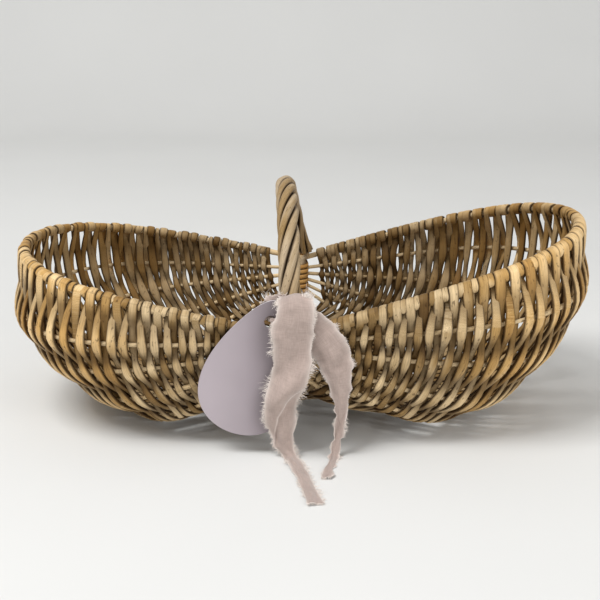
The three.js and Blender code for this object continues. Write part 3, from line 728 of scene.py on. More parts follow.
def lashing_line(settings, facing):
    """A cane wound round the hoop under the rim, then over the outside of the rim to the hoop's side."""
    s, h = settings.frame, settings.handle
    wrap = s.hoop_radius + s.gap + h.lashing_radius
    over_rim = rim_wrap(settings)
    turns = np.linspace(0, h.turns, int(h.turns * TURN_POINTS) + 1)
    height = s.node_height - over_rim - (turns[-1] - turns) * h.pitch
    x, y, _ = bow_line(settings, np.array([0.0 if facing < 0 else 1.0]))[0]
    angle = 2 * np.pi * turns
    wound = [x + facing * np.sin(angle) * wrap, y - facing * np.cos(angle) * wrap, height]
    climb = np.linspace(-np.pi / 2, np.pi / 2, OVER_POINTS)[1:]
    depth = facing * (s.node_depth + np.cos(climb) * over_rim)
    over = [x - facing * wrap * (climb / (np.pi / 2)), depth, s.node_height + np.sin(climb) * over_rim]
    return np.hstack([wound, over]).T


# Ribbon

# The way across a tail that lies on the floor
LYING_WAY = (1, -0.25, 0)
# The run over which a strip hangs, the end of it where the dents fade, and how far its edges stray
HUNG, HUNG_END, EDGE_STRAY = 0.13, 0.03, 0.0007
# A crease's height, and its stray, its width and its worn line's width as shares of the cloth's width
CREASE_STEP, CREASE_STRAY, CREASE_WIDTH, CREASE_WEAR = 0.0021, 0.03, 0.05, 0.022
# The run over which the tied end calms the wrinkles, and the share of them that is left there
TIED, TIED_DEPTH = 0.02, 0.3
# How far a strip stands out for each time that its dents are deeper
STAND_OUT = 0.0016
# Waves of the cloth: depth, radians in a millimetre along it, radians across it, drift and its knots
DENTS = ((0.0011, 0.11, 4.6, 1.1, 7), (0.00042, 0.16, 7.0, 0.6, 9))
RIPPLES = ((0.00022, 0.37, -11.0, 1.0, 14),)
# Fine pleats: depth, radians across the cloth and in a millimetre along it
PLEATS = (0.00016, 31.0, 0.05)
# The least share of their depth that the waves sink to
WEAKEST = 0.35
# The run that an edge's full number of threads is for, and how many times fewer a free end or a tuft has
THREADS_RUN, END_THREADS = 0.22, 8
# Lengths of the tufts along an edge: their mean, their stray, its knots, the least and the most
TUFTS = (0.75, 0.75, 22, 0.25, 2.0)
# A thread's length, as a gamma value's shape and scale, the least and the most
THREAD_LENGTHS = (5.0, 0.17, 0.2, 2.2)
# How far its way strays, how much more so its second half, that half's own stray, and its bend
THREAD_STRAY, STRAY_GROWS, TIP_STRAY, THREAD_BEND = 0.3, 1.5, 0.5, (0, -0.35, -0.15)
# How deep it starts in the cloth, the shares of its radius at root, middle and tip, and its triangles
THREAD_ROOT = 0.0006
THREAD_TAPER = (1.0, 0.8, 0.35)
THREAD_FACES = (
    [[0, 1, 4], [0, 4, 3], [1, 2, 5], [1, 5, 4], [2, 0, 3], [2, 3, 5], [3, 4, 7]]
    + [[3, 7, 6], [4, 5, 8], [4, 8, 7], [5, 3, 6], [5, 6, 8], [2, 1, 0], [6, 7, 8]]
)
# Each row: place x, y, z in millimetres, width, fold, turn of the cloth about its path in degrees
FRONT_TAIL = [
    (-4.5, -118.8, 114.5, 16, 0.0, 0),
    (-2.5, -122.2, 123.8, 23, 0.6, 0),
    (-1, -128.4, 122.8, 26, 0.6, 0),
    (-1.2, -131.4, 113.2, 29.7, 1.0, 0),
    (-2.9, -131.4, 102, 31.9, 1.4, 0),
    (-2.6, -131.2, 85.4, 28.9, 1.6, 0),
    (-5.2, -131.2, 67, 27.8, 2.0, 4),
    (-12.2, -131.2, 45, 23.5, 2.0, 6),
    (-12.4, -131.2, 31.7, 23, 1.6, 8),
    (-10.2, -131.2, 13.4, 15, 1.2, 10),
    (-5.6, -134.6, 2.8, 9.4, 0.8, 6),
    (-1, -145, 1.6, 9.4, 0.6, 3),
    (6.8, -176.6, 1.6, 10, 0.6, -4),
    (14.7, -211.8, 1.2, 12.5, 0.3, 0),
]
# The row from which the front tail lies on the floor
FRONT_HUNG = 10
BACK_TAIL = [
    (1, -121.2, 112, 18, 0.0, 90),
    (9, -126, 107, 24, 0.4, 80),
    (18, -127.6, 96.5, 28, 1.0, 50),
    (25.5, -127.8, 86, 28, 1.4, 38),
    (30, -128, 74, 26, 1.4, 24),
    (33, -128, 58, 17, 1.4, 14),
    (34, -128, 42.3, 11, 1.2, 8),
    (33.4, -128.2, 28, 7.5, 0.9, 4),
    (31.4, -129, 14, 6.5, 0.7, 0),
    (29, -133.4, 2.4, 6.5, 0.6, 0),
    (26, -150, 1.6, 7, 0.6, 0),
    (22.5, -170, 1.2, 7.5, 0.3, 0),
]
# The band that carries the tag, from the sleeve round behind the tag to its hole
BAND = [
    (-6, -118.6, 121, 7, 0.2, 0),
    (-13, -121.6, 124, 9, 0.4, 0),
    (-20.5, -123.4, 122, 10, 0.5, 0),
    (-24.2, -124.2, 115.5, 9, 0.5, 0),
    (-21.5, -124.6, 110.5, 7, 0.3, 0),
]


# Each strip: its name, table, seed, depth of its dents, the run of its crease, the rows from which its
# edges have threads, and what it rests on
STRIPS = (
    ("ribbon_front_tail", FRONT_TAIL, 41, 2.8, (0.078, 0.132), (4, 4), ["ribbon_sleeve", "floor"]),
    ("ribbon_back_tail", BACK_TAIL, 43, 1.2, None, (52, 24), ["floor"]),
    ("ribbon_band", BAND, 45, 1.0, None, (4, 4), ["ribbon_sleeve"]),
)
# The tuft at the front fold: its rows and columns from the edge, its threads' length and their way
TUFT_ROWS, TUFT_COLUMNS, TUFT_LENGTH, TUFT_WAY = (14, 30), 8, 3.0, (0.4, 0.2, 1.0)
# Shares of their length that the back tail's edges have, the first of which the tag swings up to
BESIDE_TAG = (0.4, 0.8)
# How far the front tail's threads end before the tag's middle
THREADS_CLEAR = 0.0015
# Length that fine wrinkles and gathers take up, as a share of the modelled run
WRINKLED, GATHERED = 1.02, 1.03
# The sleeve's clearance over the rods and its edges' flare
SLEEVE_CLEAR, FLARE = 0.0006, 0.0009
# Its gathers: depth, how many go round, and their slant and start in radians
GATHERS = ((0.0004, 9, 2.2, 0), (0.0003, 17, -3, 1))
# The pass: how far it runs behind the tag past its own radius, and before the tag, its fullness from end
# to end, its twist in radians in a metre, and its pleats as depth, how many go round and twists
PASS_BEHIND, PASS_BEFORE = 0.0012, 0.0021
PASS_FULL = (0.8, 0.8, 0.8, 0.8, 0.6, 0.4, 0.4, 0.4)
PASS_TWIST = 30
PASS_PLEATS = ((0.1, 5, 3), (0.08, 9, -2))


def cloth_grid(places, ways, widths, folds, seed, dents=1.0, crease=None, rows=220, columns=36):
    """A strip of cloth as a grid of points, with its running length, its width and how worn each point is.

    Across the strip a point lies at share times the width, raised by fold times the cosine of one wave
    and by wrinkles, sines that run on a slant with slowly changing strength. The broad ones are dents
    times as deep where the strip hangs, and it stands out by as much. The edges stray by noise.
    A crease runs straight from one edge to the other, and the cloth before it lies on the cloth after it.
    """
    rng = np.random.default_rng(seed)
    steps = max(rows // (len(places) - 1), 4)
    centre, carried = smooth_path(places, np.column_stack([ways, widths, folds]), steps)
    run = running(centre)
    direction = unit(np.gradient(centre, axis=0))
    across = square_to(direction, carried[:, :3])
    lift = np.cross(direction, across)
    part = np.linspace(-0.5, 0.5, columns)[None, :]
    n = len(centre)

    def stray(knots):
        return noise_line(rng, n, knots)[:, None]

    def waves(table):
        return sum(
            depth * np.sin(slant * along_it + part * across_it + drift * stray(knots))
            for depth, along_it, across_it, drift, knots in table
        )

    edge = np.hstack([stray(40), stray(40)]) * EDGE_STRAY
    reach = part * carried[:, 3:4] + np.where(part < 0, -edge[:, :1], edge[:, 1:]) * (2 * np.abs(part)) ** 4
    wave = carried[:, 4:5] * np.cos(2 * np.pi * part)
    strength = mix(WEAKEST, 1, np.clip(stray(12) * 0.5 + 0.5, 0, 1))
    slant = run[:, None] * 1000
    deep = 1 + (dents - 1) * np.clip((HUNG - run) / HUNG_END, 0, 1)[:, None]
    wrinkle = STAND_OUT * (deep - 1) + deep * strength * waves(DENTS)
    wrinkle += waves(RIPPLES)
    wrinkle += PLEATS[0] * strength * np.sin(part * PLEATS[1] + slant * PLEATS[2])
    calm = np.clip(run / TIED, TIED_DEPTH, 1)[:, None]
    worn = np.repeat((2 * np.abs(part)) ** 8, n, 0)
    step = 0 * reach
    if crease:
        line = 0.5 - (run[:, None] - crease[0]) / (crease[1] - crease[0]) + CREASE_STRAY * stray(40)
        step = CREASE_STEP * np.clip((line - part) / CREASE_WIDTH + 0.5, 0, 1)
        worn = np.maximum(worn, np.exp(-(((line - part) / CREASE_WEAR) ** 2)))
    points = centre[:, None] + across[:, None] * reach[:, :, None]
    points = points + lift[:, None] * (wave + step + wrinkle * calm)[:, :, None]
    return points, run, carried[:, 3], worn


def cloth_mesh(name, grid, run, width, worn, thickness):
    """A closed sheet: the grid moved half a thickness out along its normals, and the same grid moved in."""
    normal = unit(np.cross(np.gradient(grid, axis=0), np.gradient(grid, axis=1)))
    under = (grid - normal * thickness / 2)[:, ::-1]
    ring = np.concatenate([grid + normal * thickness / 2, under], 1)
    v = np.linspace(0, float(np.mean(width)), grid.shape[1])
    v = np.concatenate([v, v[::-1], v[:1]])
    return put_mesh(name, ring, run, v, edge=np.concatenate([worn, worn[:, ::-1]], 1))


def edge_spots(grid, threads, first, rng):
    """Where loose threads start along both edges and the free end of a strip, their ways and lengths.

    The lengths rise and fall along each edge by noise, so the threads stand in tufts. first is the row
    from which each edge has threads.
    """
    mean, stray, knots, least, most = TUFTS
    spots, ways, sizes = [], [], []
    for edge, inner, start in ((0, 1, first[0]), (-1, -2, first[1])):
        pick = rng.integers(start, len(grid) - 1, threads)
        spots.append(mix(grid[pick, edge], grid[pick + 1, edge], rng.random((threads, 1))))
        ways.append(unit(grid[pick, edge] - grid[pick, inner]))
        sizes.append(np.clip(mean + stray * noise_line(rng, len(grid), knots), least, most)[pick])
    count = threads // END_THREADS
    pick = rng.integers(0, grid.shape[1] - 1, count)
    spots.append(mix(grid[-1, pick], grid[-1, pick + 1], rng.random((count, 1))))
    ways.append(unit(grid[-1, pick] - grid[-3, pick]))
    sizes.append(np.ones(count))
    return spots, ways, sizes


def fray_mesh(name, spots, ways, sizes, rng, radius, before):
    """Loose threads, each a thin three-sided rod that bends down and forwards and stays before a plane."""
    spot, way = np.vstack(spots), np.vstack(ways)
    count = len(spot)
    shape, scale, least, most = THREAD_LENGTHS
    reach = np.concatenate(sizes)[:, None] * np.clip(rng.gamma(shape, scale, (count, 1)), least, most)
    stray = rng.normal(0, THREAD_STRAY, (count, 3))
    first = unit(way + stray)
    second = unit(way + stray * STRAY_GROWS + rng.normal(0, TIP_STRAY, (count, 3)) + THREAD_BEND)
    middle = spot + first * reach * 0.5
    line = np.stack([spot - way * THREAD_ROOT, middle, middle + second * reach * 0.5], 1)
    line[:, :, 1] = np.minimum(line[:, :, 1], before)
    line[:, :, 2] = np.maximum(line[:, :, 2], radius * 1.5)
    side = unit(np.cross(first, rng.normal(0, 1, (count, 3))))
    corners = rings(side, np.cross(first, side), circle(3)) * radius
    points = line[:, :, None] + corners[:, None] * np.array(THREAD_TAPER)[:, None, None]
    faces = 9 * np.arange(count)[:, None, None] + np.array(THREAD_FACES)
    mesh = bpy.data.meshes.new(name)
    mesh.from_pydata((points + CENTRING).reshape(-1, 3), [], faces.reshape(-1, 3).tolist())
    mesh.update()
    return mesh


# Materials

# Scales along a rod, round it and from rod to rod, detail and roughness of the willow's patterns
GRAIN = {
    "Fibre": ((70.0, 2600.0, 7.0), 3.0, 0.6),
    "Fleck": ((260.0, 900.0, 7.0), 2.0, 0.55),
    "Patch": ((28.0, 120.0, 7.0), 2.0, 0.5),
}
# Radians of the cloth's weave in a metre, and scales of its thick threads and clouds
THREADS = 9000.0
SLUBS = {"Slub": (180.0, 1500.0, 1.0), "Pick": (1500.0, 160.0, 1.0), "Cloud": (45.0, 60.0, 1.0)}
# Painted shade across the card in upright bands: where they start from the hook and how wide they are
# together, and each band's lightness
CARD_SHADE_PLACE = (-0.056, 0.076)
CARD_SHADE_BANDS = ((0.1, 1.0), (0.29, 0.85), (0.47, 0.68), (0.56, 0.5), (0.66, 0.29), (0.78, 0.1), (1.0, 0.2))


def plug(tree, socket, value):
    """Feeds a socket from another socket, or sets it to a number, a vector or a colour."""
    if isinstance(value, bpy.types.NodeSocket):
        tree.links.new(value, socket)
    elif socket.type == "RGBA":
        socket.default_value = (*value, 1)
    else:
        socket.default_value = value


def node(tree, kind, **values):
    """A shader node whose named properties and inputs are set."""
    made = tree.nodes.new(kind)
    for key, value in values.items():
        if key in made.inputs:
            plug(tree, made.inputs[key], value)
        else:
            setattr(made, key, value)
    return made


def ramp(tree, factor, *stops):
    """A colour ramp through (place, colour) stops, where a plain number is a grey."""
    made = node(tree, "ShaderNodeValToRGB", Fac=factor)
    elements = made.color_ramp.elements
    while len(elements) < len(stops):
        elements.new(0.5)
    for element, (place, colour) in zip(elements, stops):
        element.position = place
        element.color = (*colour, 1) if isinstance(colour, tuple) else (colour, colour, colour, 1)
    return made.outputs["Color"]


def maths(tree, operation, *values):
    """A Math node on inputs that are each a socket or a number."""
    made = node(tree, "ShaderNodeMath", operation=operation)
    for socket, value in zip(made.inputs, values):
        plug(tree, socket, value)
    return made.outputs[0]


def weighed(tree, *pairs):
    """The sum of sockets, each times its weight."""
    total = 0.0
    for socket, weight in pairs:
        total = maths(tree, "MULTIPLY_ADD", socket, weight, total)
    return total


def blend(tree, kind, factor, *colours):
    """A colour Mix node on two inputs, each a socket or a colour."""
    made = node(tree, "ShaderNodeMix", data_type="RGBA", blend_type=kind, clamp_factor=True)
    for place, value in zip((0, 6, 7), (factor, *colours)):
        plug(tree, made.inputs[place], value)
    return made.outputs[2]


def noise(tree, place, scale, detail, rough=0.5):
    """Noise at a place. Three scales stretch the place, and a single one is the noise's own."""
    if isinstance(scale, tuple):
        place, scale = node(tree, "ShaderNodeMapping", Vector=place, Scale=scale).outputs[0], 1.0
    kinds = {"Vector": place, "Scale": scale, "Detail": detail, "Roughness": rough}
    return node(tree, "ShaderNodeTexNoise", **kinds).outputs[0]


def group_tree(name, number, outputs):
    """A shader node group that takes a vector and a number, with its inputs and its outputs to fill."""
    tree = bpy.data.node_groups.new(name, "ShaderNodeTree")
    tree.interface.new_socket("Vector", in_out="INPUT", socket_type="NodeSocketVector")
    tree.interface.new_socket(number, in_out="INPUT", socket_type="NodeSocketFloat")
    for label in outputs:
        tree.interface.new_socket(label, in_out="OUTPUT", socket_type="NodeSocketFloat")
    given, filled = tree.nodes.new("NodeGroupInput"), tree.nodes.new("NodeGroupOutput")
    return tree, given.outputs["Vector"], given.outputs[number], filled.inputs


def wood_grain():
    """Fibres, bark flecks and scars of a willow rod, from a place along and a place round it in metres."""
    tree, place, offset, made = group_tree("Willow grain", "Offset", ("Fibre", "Fleck", "Patch", "Height"))
    away = node(tree, "ShaderNodeCombineXYZ", X=maths(tree, "MULTIPLY", offset, 3.1), Z=offset)
    moved = node(tree, "ShaderNodeVectorMath", operation="ADD")
    plug(tree, moved.inputs[0], place)
    plug(tree, moved.inputs[1], away.outputs[0])
    patterns = {label: noise(tree, moved.outputs[0], *kinds) for label, kinds in GRAIN.items()}
    patterns["Height"] = weighed(tree, (patterns["Fibre"], 0.7), (patterns["Fleck"], 0.5))
    for label, pattern in patterns.items():
        plug(tree, made[label], pattern)
    return tree


def cloth_weave():
    """Plain weave: the product of two sines of a place along and a place across in metres, with slubs."""
    tree, place, threads, made = group_tree("Cotton weave", "Threads", ("Weave", "Slub", "Pick", "Cloud"))
    parts = node(tree, "ShaderNodeSeparateXYZ", Vector=place).outputs
    warp, weft = (maths(tree, "SINE", maths(tree, "MULTIPLY", part, threads)) for part in parts[:2])
    product = maths(tree, "MULTIPLY", warp, weft)
    plug(tree, made["Weave"], maths(tree, "MULTIPLY_ADD", product, 0.5, 0.5))
    for label, scale in SLUBS.items():
        plug(tree, made[label], noise(tree, place, scale, 3.0, 0.6))
    return tree


def new_material(name):
    """A material and its node tree."""
    material = bpy.data.materials.new(name)
    material.use_nodes = True
    return material, material.node_tree


def finish(tree, values, height=None, strength=0.0, distance=0.0):
    """Sets inputs of the Principled shader, and its bump where it has a height."""
    shader = tree.nodes["Principled BSDF"]
    if height is not None:
        kinds = {"Strength": strength, "Distance": distance, "Height": height}
        values["Normal"] = node(tree, "ShaderNodeBump", **kinds).outputs[0]
    for key, value in values.items():
        plug(tree, shader.inputs[key], value)


def uv_of(tree):
    """The pattern place that the mesh carries."""
    return node(tree, "ShaderNodeUVMap", uv_map="along").outputs[0]


def object_place(tree):
    """The place in the frame's own metres."""
    return node(tree, "ShaderNodeTexCoord").outputs["Object"]


def carried(tree, name):
    """A value that the mesh's points carry."""
    return node(tree, "ShaderNodeAttribute", attribute_type="GEOMETRY", attribute_name=name).outputs["Fac"]


def willow(name, grain, fresh, greyed, dark, rough, painted_shade):
    """Willow: three tones chosen by strand and by patch, greyed in places, with fibres, flecks and painted
    shade.

    fresh and greyed are each a light, a middle and a deep tone.
    """
    material, tree = new_material(name)
    tint, across = carried(tree, "tint"), carried(tree, "across")
    offset = maths(tree, "MULTIPLY", tint, 37.0)
    pattern = node(tree, "ShaderNodeGroup", node_tree=grain, Vector=uv_of(tree), Offset=offset).outputs
    tone = weighed(tree, (tint, 0.55), (pattern["Patch"], 0.7), (carried(tree, "shade"), 0.09))
    inner_shade_tone = greyed[2]
    fresh, greyed = (
        ramp(tree, tone, (0.24, deep), (0.5, middle), (0.78, light), (1.0, middle))
        for light, middle, deep in (fresh, greyed)
    )
    colour = blend(tree, "MIX", carried(tree, "fade"), fresh, greyed)
    fibre = ramp(tree, pattern["Fibre"], (0.3, 0.66), (0.62, 1.1))
    colour = blend(tree, "MULTIPLY", 0.8, colour, fibre)
    fleck = ramp(tree, pattern["Fleck"], (0.29, 1.0), (0.39, 0.0))
    colour = blend(tree, "MIX", maths(tree, "MULTIPLY", fleck, 0.6), colour, dark)
    if painted_shade == "flanks":
        # Painted shade where the strand runs inside the wall, towards the darkest greyed tone
        inner = maths(tree, "MULTIPLY", carried(tree, "inner"), 0.55)
        colour = blend(tree, "MIX", inner, colour, inner_shade_tone)
        # Painted shade halfway between two rods, where the strand crosses through the wall
        crevice = ramp(tree, carried(tree, "crevice"), (0.2, 0.0), (1.0, 0.66))
        colour = blend(tree, "MIX", crevice, colour, dark)
        # Painted shade along both sides of a strand or cane, where it meets its neighbours
        flank_shade = ramp(tree, maths(tree, "ABSOLUTE", across), (0.6, 0.0), (0.95, 0.88))
        colour = blend(tree, "MIX", flank_shade, colour, dark)
    if painted_shade == "grooves":
        # Painted shade on the side of each twisted rod that faces the core, between the rods
        colour = blend(tree, "MIX", ramp(tree, across, (0.0, 0.9), (0.5, 0.0)), colour, dark)
    gloss = ramp(tree, pattern["Patch"], (0.3, rough - 0.1), (0.7, rough + 0.12))
    values = {"Base Color": colour, "Roughness": gloss, "Specular IOR Level": 0.12}
    finish(tree, values, pattern["Height"], 0.6, 0.0005)
    return material


def cotton(name, weave, cloth, thread):
    """Washed cotton: a fine plain weave with slubs, faded clouds and a paler worn edge."""
    material, tree = new_material(name)
    place = uv_of(tree)
    pattern = node(tree, "ShaderNodeGroup", node_tree=weave, Vector=place, Threads=THREADS).outputs
    cloud = ramp(tree, pattern["Cloud"], (0.3, 0.86), (0.7, 1.06))
    colour = blend(tree, "MULTIPLY", 1.0, cloth, cloud)
    for label in ("Slub", "Pick"):
        slub = ramp(tree, pattern[label], (0.35, 0.9), (0.65, 1.06))
        colour = blend(tree, "MULTIPLY", 0.8, colour, slub)
    holes = ramp(tree, pattern["Weave"], (0.0, 0.86), (0.55, 1.02))
    colour = blend(tree, "MULTIPLY", 0.6, colour, holes)
    colour = blend(tree, "MIX", maths(tree, "MULTIPLY", carried(tree, "edge"), 0.6), colour, thread)
    values = {"Base Color": colour, "Roughness": 0.92, "Specular IOR Level": 0.2}
    values.update({"Sheen Weight": 0.35, "Sheen Roughness": 0.5})
    height = weighed(tree, (pattern["Slub"], 1.0), (pattern["Pick"], 1.0), (pattern["Weave"], 1.0))
    finish(tree, values, height, 0.5, 0.0002)
    return material


def loose_thread(name, thread):
    """Thin cotton threads, paler than the cloth, with a little change from thread to thread."""
    material, tree = new_material(name)
    tone = ramp(tree, noise(tree, object_place(tree), 900.0, 1.0), (0.3, 0.8), (0.7, 1.05))
    colour = blend(tree, "MULTIPLY", 1.0, thread, tone)
    finish(tree, {"Base Color": colour, "Roughness": 0.9, "Sheen Weight": 0.3})
    return material


def satin_card(name, settings):
    """Coated card: lilac grey with soft upright bands of painted shade, fine paper tooth, and a pale cut
    edge.
    """
    colours = settings.colours
    material, tree = new_material(name)
    place = object_place(tree)
    parts = node(tree, "ShaderNodeSeparateXYZ", Vector=place).outputs
    left, wide = CARD_SHADE_PLACE
    start = float(CENTRING[0]) + settings.tag.hook[0] + left
    span = maths(tree, "MULTIPLY", maths(tree, "SUBTRACT", parts[0], start), 1 / wide)
    light, deep = np.array(colours.card), np.array(colours.card_deep)
    # Painted shade: the card darkens in upright bands from the lit tone on the left to the shaded tone on
    # the right
    bands = ramp(tree, span, *((spot, tuple(mix(deep, light, share))) for spot, share in CARD_SHADE_BANDS))
    tooth = noise(tree, place, 2400.0, 2.0)
    cloud = noise(tree, place, 26.0, 2.0)
    colour = blend(tree, "MULTIPLY", 1.0, bands, ramp(tree, cloud, (0.3, 0.96), (0.7, 1.03)))
    colour = blend(tree, "MIX", carried(tree, "edge"), colour, tuple(colours.card_edge))
    gloss = ramp(tree, cloud, (0.3, 0.3), (0.7, 0.42))
    values = {"Base Color": colour, "Roughness": gloss, "Coat Weight": 0.15, "Coat Roughness": 0.25}
    finish(tree, values, tooth, 0.12, 0.0001)
    return material


def plain_ground(name, colour):
    """Matt pale floor and backdrop with a faint cloud."""
    material, tree = new_material(name)
    tone = ramp(tree, noise(tree, object_place(tree), 3.0, 2.0), (0.3, 0.97), (0.7, 1.0))
    finish(tree, {"Base Color": blend(tree, "MULTIPLY", 1.0, colour, tone), "Roughness": 0.85})
    return material


def soft_sky(light, seen):
    """White light from all round, and a brighter white where the camera or a reflection sees it."""
    world = bpy.data.worlds.new("Soft sky")
    world.use_nodes = True
    tree = world.node_tree
    path = node(tree, "ShaderNodeLightPath").outputs
    sees = maths(tree, "MAXIMUM", path["Is Camera Ray"], path["Is Glossy Ray"])
    sees = maths(tree, "MAXIMUM", sees, path["Is Transmission Ray"])
    back = tree.nodes["Background"].inputs
    plug(tree, back["Color"], (1, 1, 1))
    plug(tree, back["Strength"], maths(tree, "MULTIPLY_ADD", sees, seen - light, light))
    return world


def once(name, make, *values):
    """A material or node group that is made the first time that it is asked for."""
    return bpy.data.materials.get(name) or bpy.data.node_groups.get(name) or make(*values)


# Each part's three fresh tones and three greyed ones, light to deep, its roughness and where shade is
# painted on it
WILLOW = {
    "weaver": ("straw tan bark", "pale olive umber", 0.5, "flanks"),
    "frame": ("straw pale pale", "pale pale olive", 0.5, ""),
    "handle": ("handle handle olive", "handle olive olive", 0.55, "grooves"),
    "hoop": ("handle olive umber", "handle olive umber", 0.6, ""),
    "cane": ("cane cane tan", "cane cane tan", 0.42, "flanks"),
}


def willow_for(settings, part):
    """The willow of one part of the basket."""
    c = settings.colours
    fresh, greyed, rough, painted_shade = WILLOW[part]
    fresh, greyed = ([tuple(getattr(c, tone)) for tone in tones.split()] for tones in (fresh, greyed))
    name, grain = "Willow " + part, once("Willow grain", wood_grain)
    return once(name, willow, name, grain, fresh, greyed, tuple(c.dark), rough, painted_shade)


def rod_marks(count, rng):
    """The marks of a plain rod: one tint, and a shade and a greying that drift along it."""
    return {
        "tint": np.full(count, rng.random()),
        "shade": noise_line(rng, count, 12),
        "fade": np.clip(0.5 + 0.3 * noise_line(rng, count, 6), 0, 1),
        "inner": np.zeros(count),
        "crevice": np.zeros(count),
    }


# Operators

# Corners of a section: of the rim, the hoop and the cane, of a rib, of a strand and of a twisted rod
HOOP_SIDES, RIB_SIDES, STRAND_SIDES, TWIST_SIDES = 10, 8, 12, 16
# How far the radius strays along the rim and along a rib
RIM_STRAY, RIB_STRAY = 0.05, 0.06
# A twisted rod's section in its radii, across and outwards, and half the cane's width in pitches
TWIST_WIDE, TWIST_DEEP, CANE_WIDE = 1.02, 1.15, 0.47
# The least height of a strand's middle over the ground, in half thicknesses
LEAST_HEIGHT = 0.9
# Points on the hoop's bow
HOOP_POINTS = 160
# Width of the bevel round the tag
CARD_BEVEL = 0.00018
# Each lamp: its name, its size and its place
LAMPS = (("key", 1.1, (-1.0, -0.7, 2.2)), ("fill", 1.2, (1.5, -1.4, 0.9)))


class BASKET_OT_frame_rods(bpy.types.Operator):
    """Builds the rim and the ribs"""

    bl_idname = "basket.frame_rods"
    bl_label = "Rim and ribs"

    def execute(self, context):
        settings = context.scene.basket
        s = settings.frame
        rng = np.random.default_rng(SEEDS["rods"])
        look = "willow_frame", willow_for(settings, "frame")
        ring = np.vstack([frame_line(s, RIGHT, 0)[::2], frame_line(s, LEFT, 0)[::-1][2:-2:2]])
        radius = s.rim_radius * (1 + RIM_STRAY * noise_line(rng, len(ring), 30))
        marks = rod_marks(len(ring), rng)
        add_rod("rim", "rim_hoop", *look, ring, UP, radius, radius, HOOP_SIDES, closed=True, **marks)
        seat = s.hoop_radius + s.gap + settings.handle.lashing_radius
        for side_name, side in (("left", LEFT), ("right", RIGHT)):
            for index in range(1, RIB_COUNT + 1):
                line = frame_line(s, side, index)
                run = running(line)
                distance = np.linspace(seat, run[-1] - seat, len(line))
                line = along(run, line, distance)
                radius = rod_radius(s, index, distance / run[-1])
                radius = radius * (1 + RIB_STRAY * noise_line(rng, len(line), 18))
                sizes = radius, radius, RIB_SIDES
                name = f"{side_name}_rib_{index}"
                marks = rod_marks(len(line), rng)
                add_rod(name + "_rod", name, *look, line, round_side(line), *sizes, **marks)
        return {"FINISHED"}


class BASKET_OT_weave(bpy.types.Operator):
    """Builds the woven wall, one strand for each weaver"""

    bl_idname = "basket.weave"
    bl_label = "Weave"

    def execute(self, context):
        settings = context.scene.basket
        woven = Frame(settings)
        rng = np.random.default_rng(SEEDS["strands"])
        look = "willow_weaver", willow_for(settings, "weaver")
        for number, runs in enumerate(plan_rows(), 1):
            centre, side, wide, thick, marks = strand(woven, runs, rng)
            centre[:, 2] = np.maximum(centre[:, 2], thick * LEAST_HEIGHT)
            name, weaver = f"strand_{number:02d}", f"weaver_{number:02d}"
            add_rod(name, weaver, *look, centre, side, wide, thick, STRAND_SIDES, PRESSED, **marks)
        return {"FINISHED"}


class BASKET_OT_handle(bpy.types.Operator):
    """Builds the core hoop and the twisted rods of the handle"""

    bl_idname = "basket.handle"
    bl_label = "Handle"

    def execute(self, context):
        settings = context.scene.basket
        s = settings.frame
        rng = np.random.default_rng(SEEDS["handle"])
        bow = bow_line(settings, np.linspace(0, 1, HOOP_POINTS))
        ring = np.vstack([bow, frame_line(s, RIGHT, SPINE)[::-1][2:-2:2]])
        marks = rod_marks(len(ring), rng)
        look = "willow_handle", willow_for(settings, "hoop")
        sizes = s.hoop_radius, s.hoop_radius, HOOP_SIDES
        add_rod("core_hoop", "handle_hoop", *look, ring, ACROSS, *sizes, closed=True, **marks)
        look = "willow_handle", willow_for(settings, "handle")
        for number in range(settings.handle.rods):
            line, arm, radius = handle_rod(settings, number, rng)
            name, rod = f"twisted_rod_{number + 1}", f"handle_rod_{number + 1}"
            sizes = radius * TWIST_WIDE, radius * TWIST_DEEP, TWIST_SIDES
            add_rod(name, rod, *look, line, arm, *sizes, **rod_marks(len(line), rng))
        return {"FINISHED"}


class BASKET_OT_lashings(bpy.types.Operator):
    """Builds the cane lashings at the front and back nodes"""

    bl_idname = "basket.lashings"
    bl_label = "Lashings"

    def execute(self, context):
        settings = context.scene.basket
        h = settings.handle
        rng = np.random.default_rng(SEEDS["cane"])
        look = "peeled_cane", willow_for(settings, "cane")
        for name, facing in (("front_lashing", -1), ("back_lashing", 1)):
            line = lashing_line(settings, facing)
            sizes = h.pitch * CANE_WIDE, h.lashing_radius, HOOP_SIDES, PRESSED
            add_rod(name + "_cane", name, *look, line, UP, *sizes, **rod_marks(len(line), rng))
        return {"FINISHED"}


def strip_arrays(table, kind):
    """A strip's places, ways across, widths and folds in metres, from its table in millimetres."""
    rows = np.array(table, float)
    places = rows[:, :3] / 1000
    angle = np.radians(rows[:, 5])
    if kind == "band":
        ways = np.cross(np.gradient(places, axis=0), [0, 1.0, 0])
    elif kind == "back":
        ways = np.stack([np.cos(angle), 0 * angle, np.sin(angle)], 1)
        ways[-1] = LYING_WAY
    else:
        ways = np.stack([np.cos(angle), -np.sin(angle) * 0.4, 0 * angle], 1)
        ways[FRONT_HUNG:] = LYING_WAY
    return places, unit(ways), rows[:, 3] / 1000, rows[:, 4] / 1000


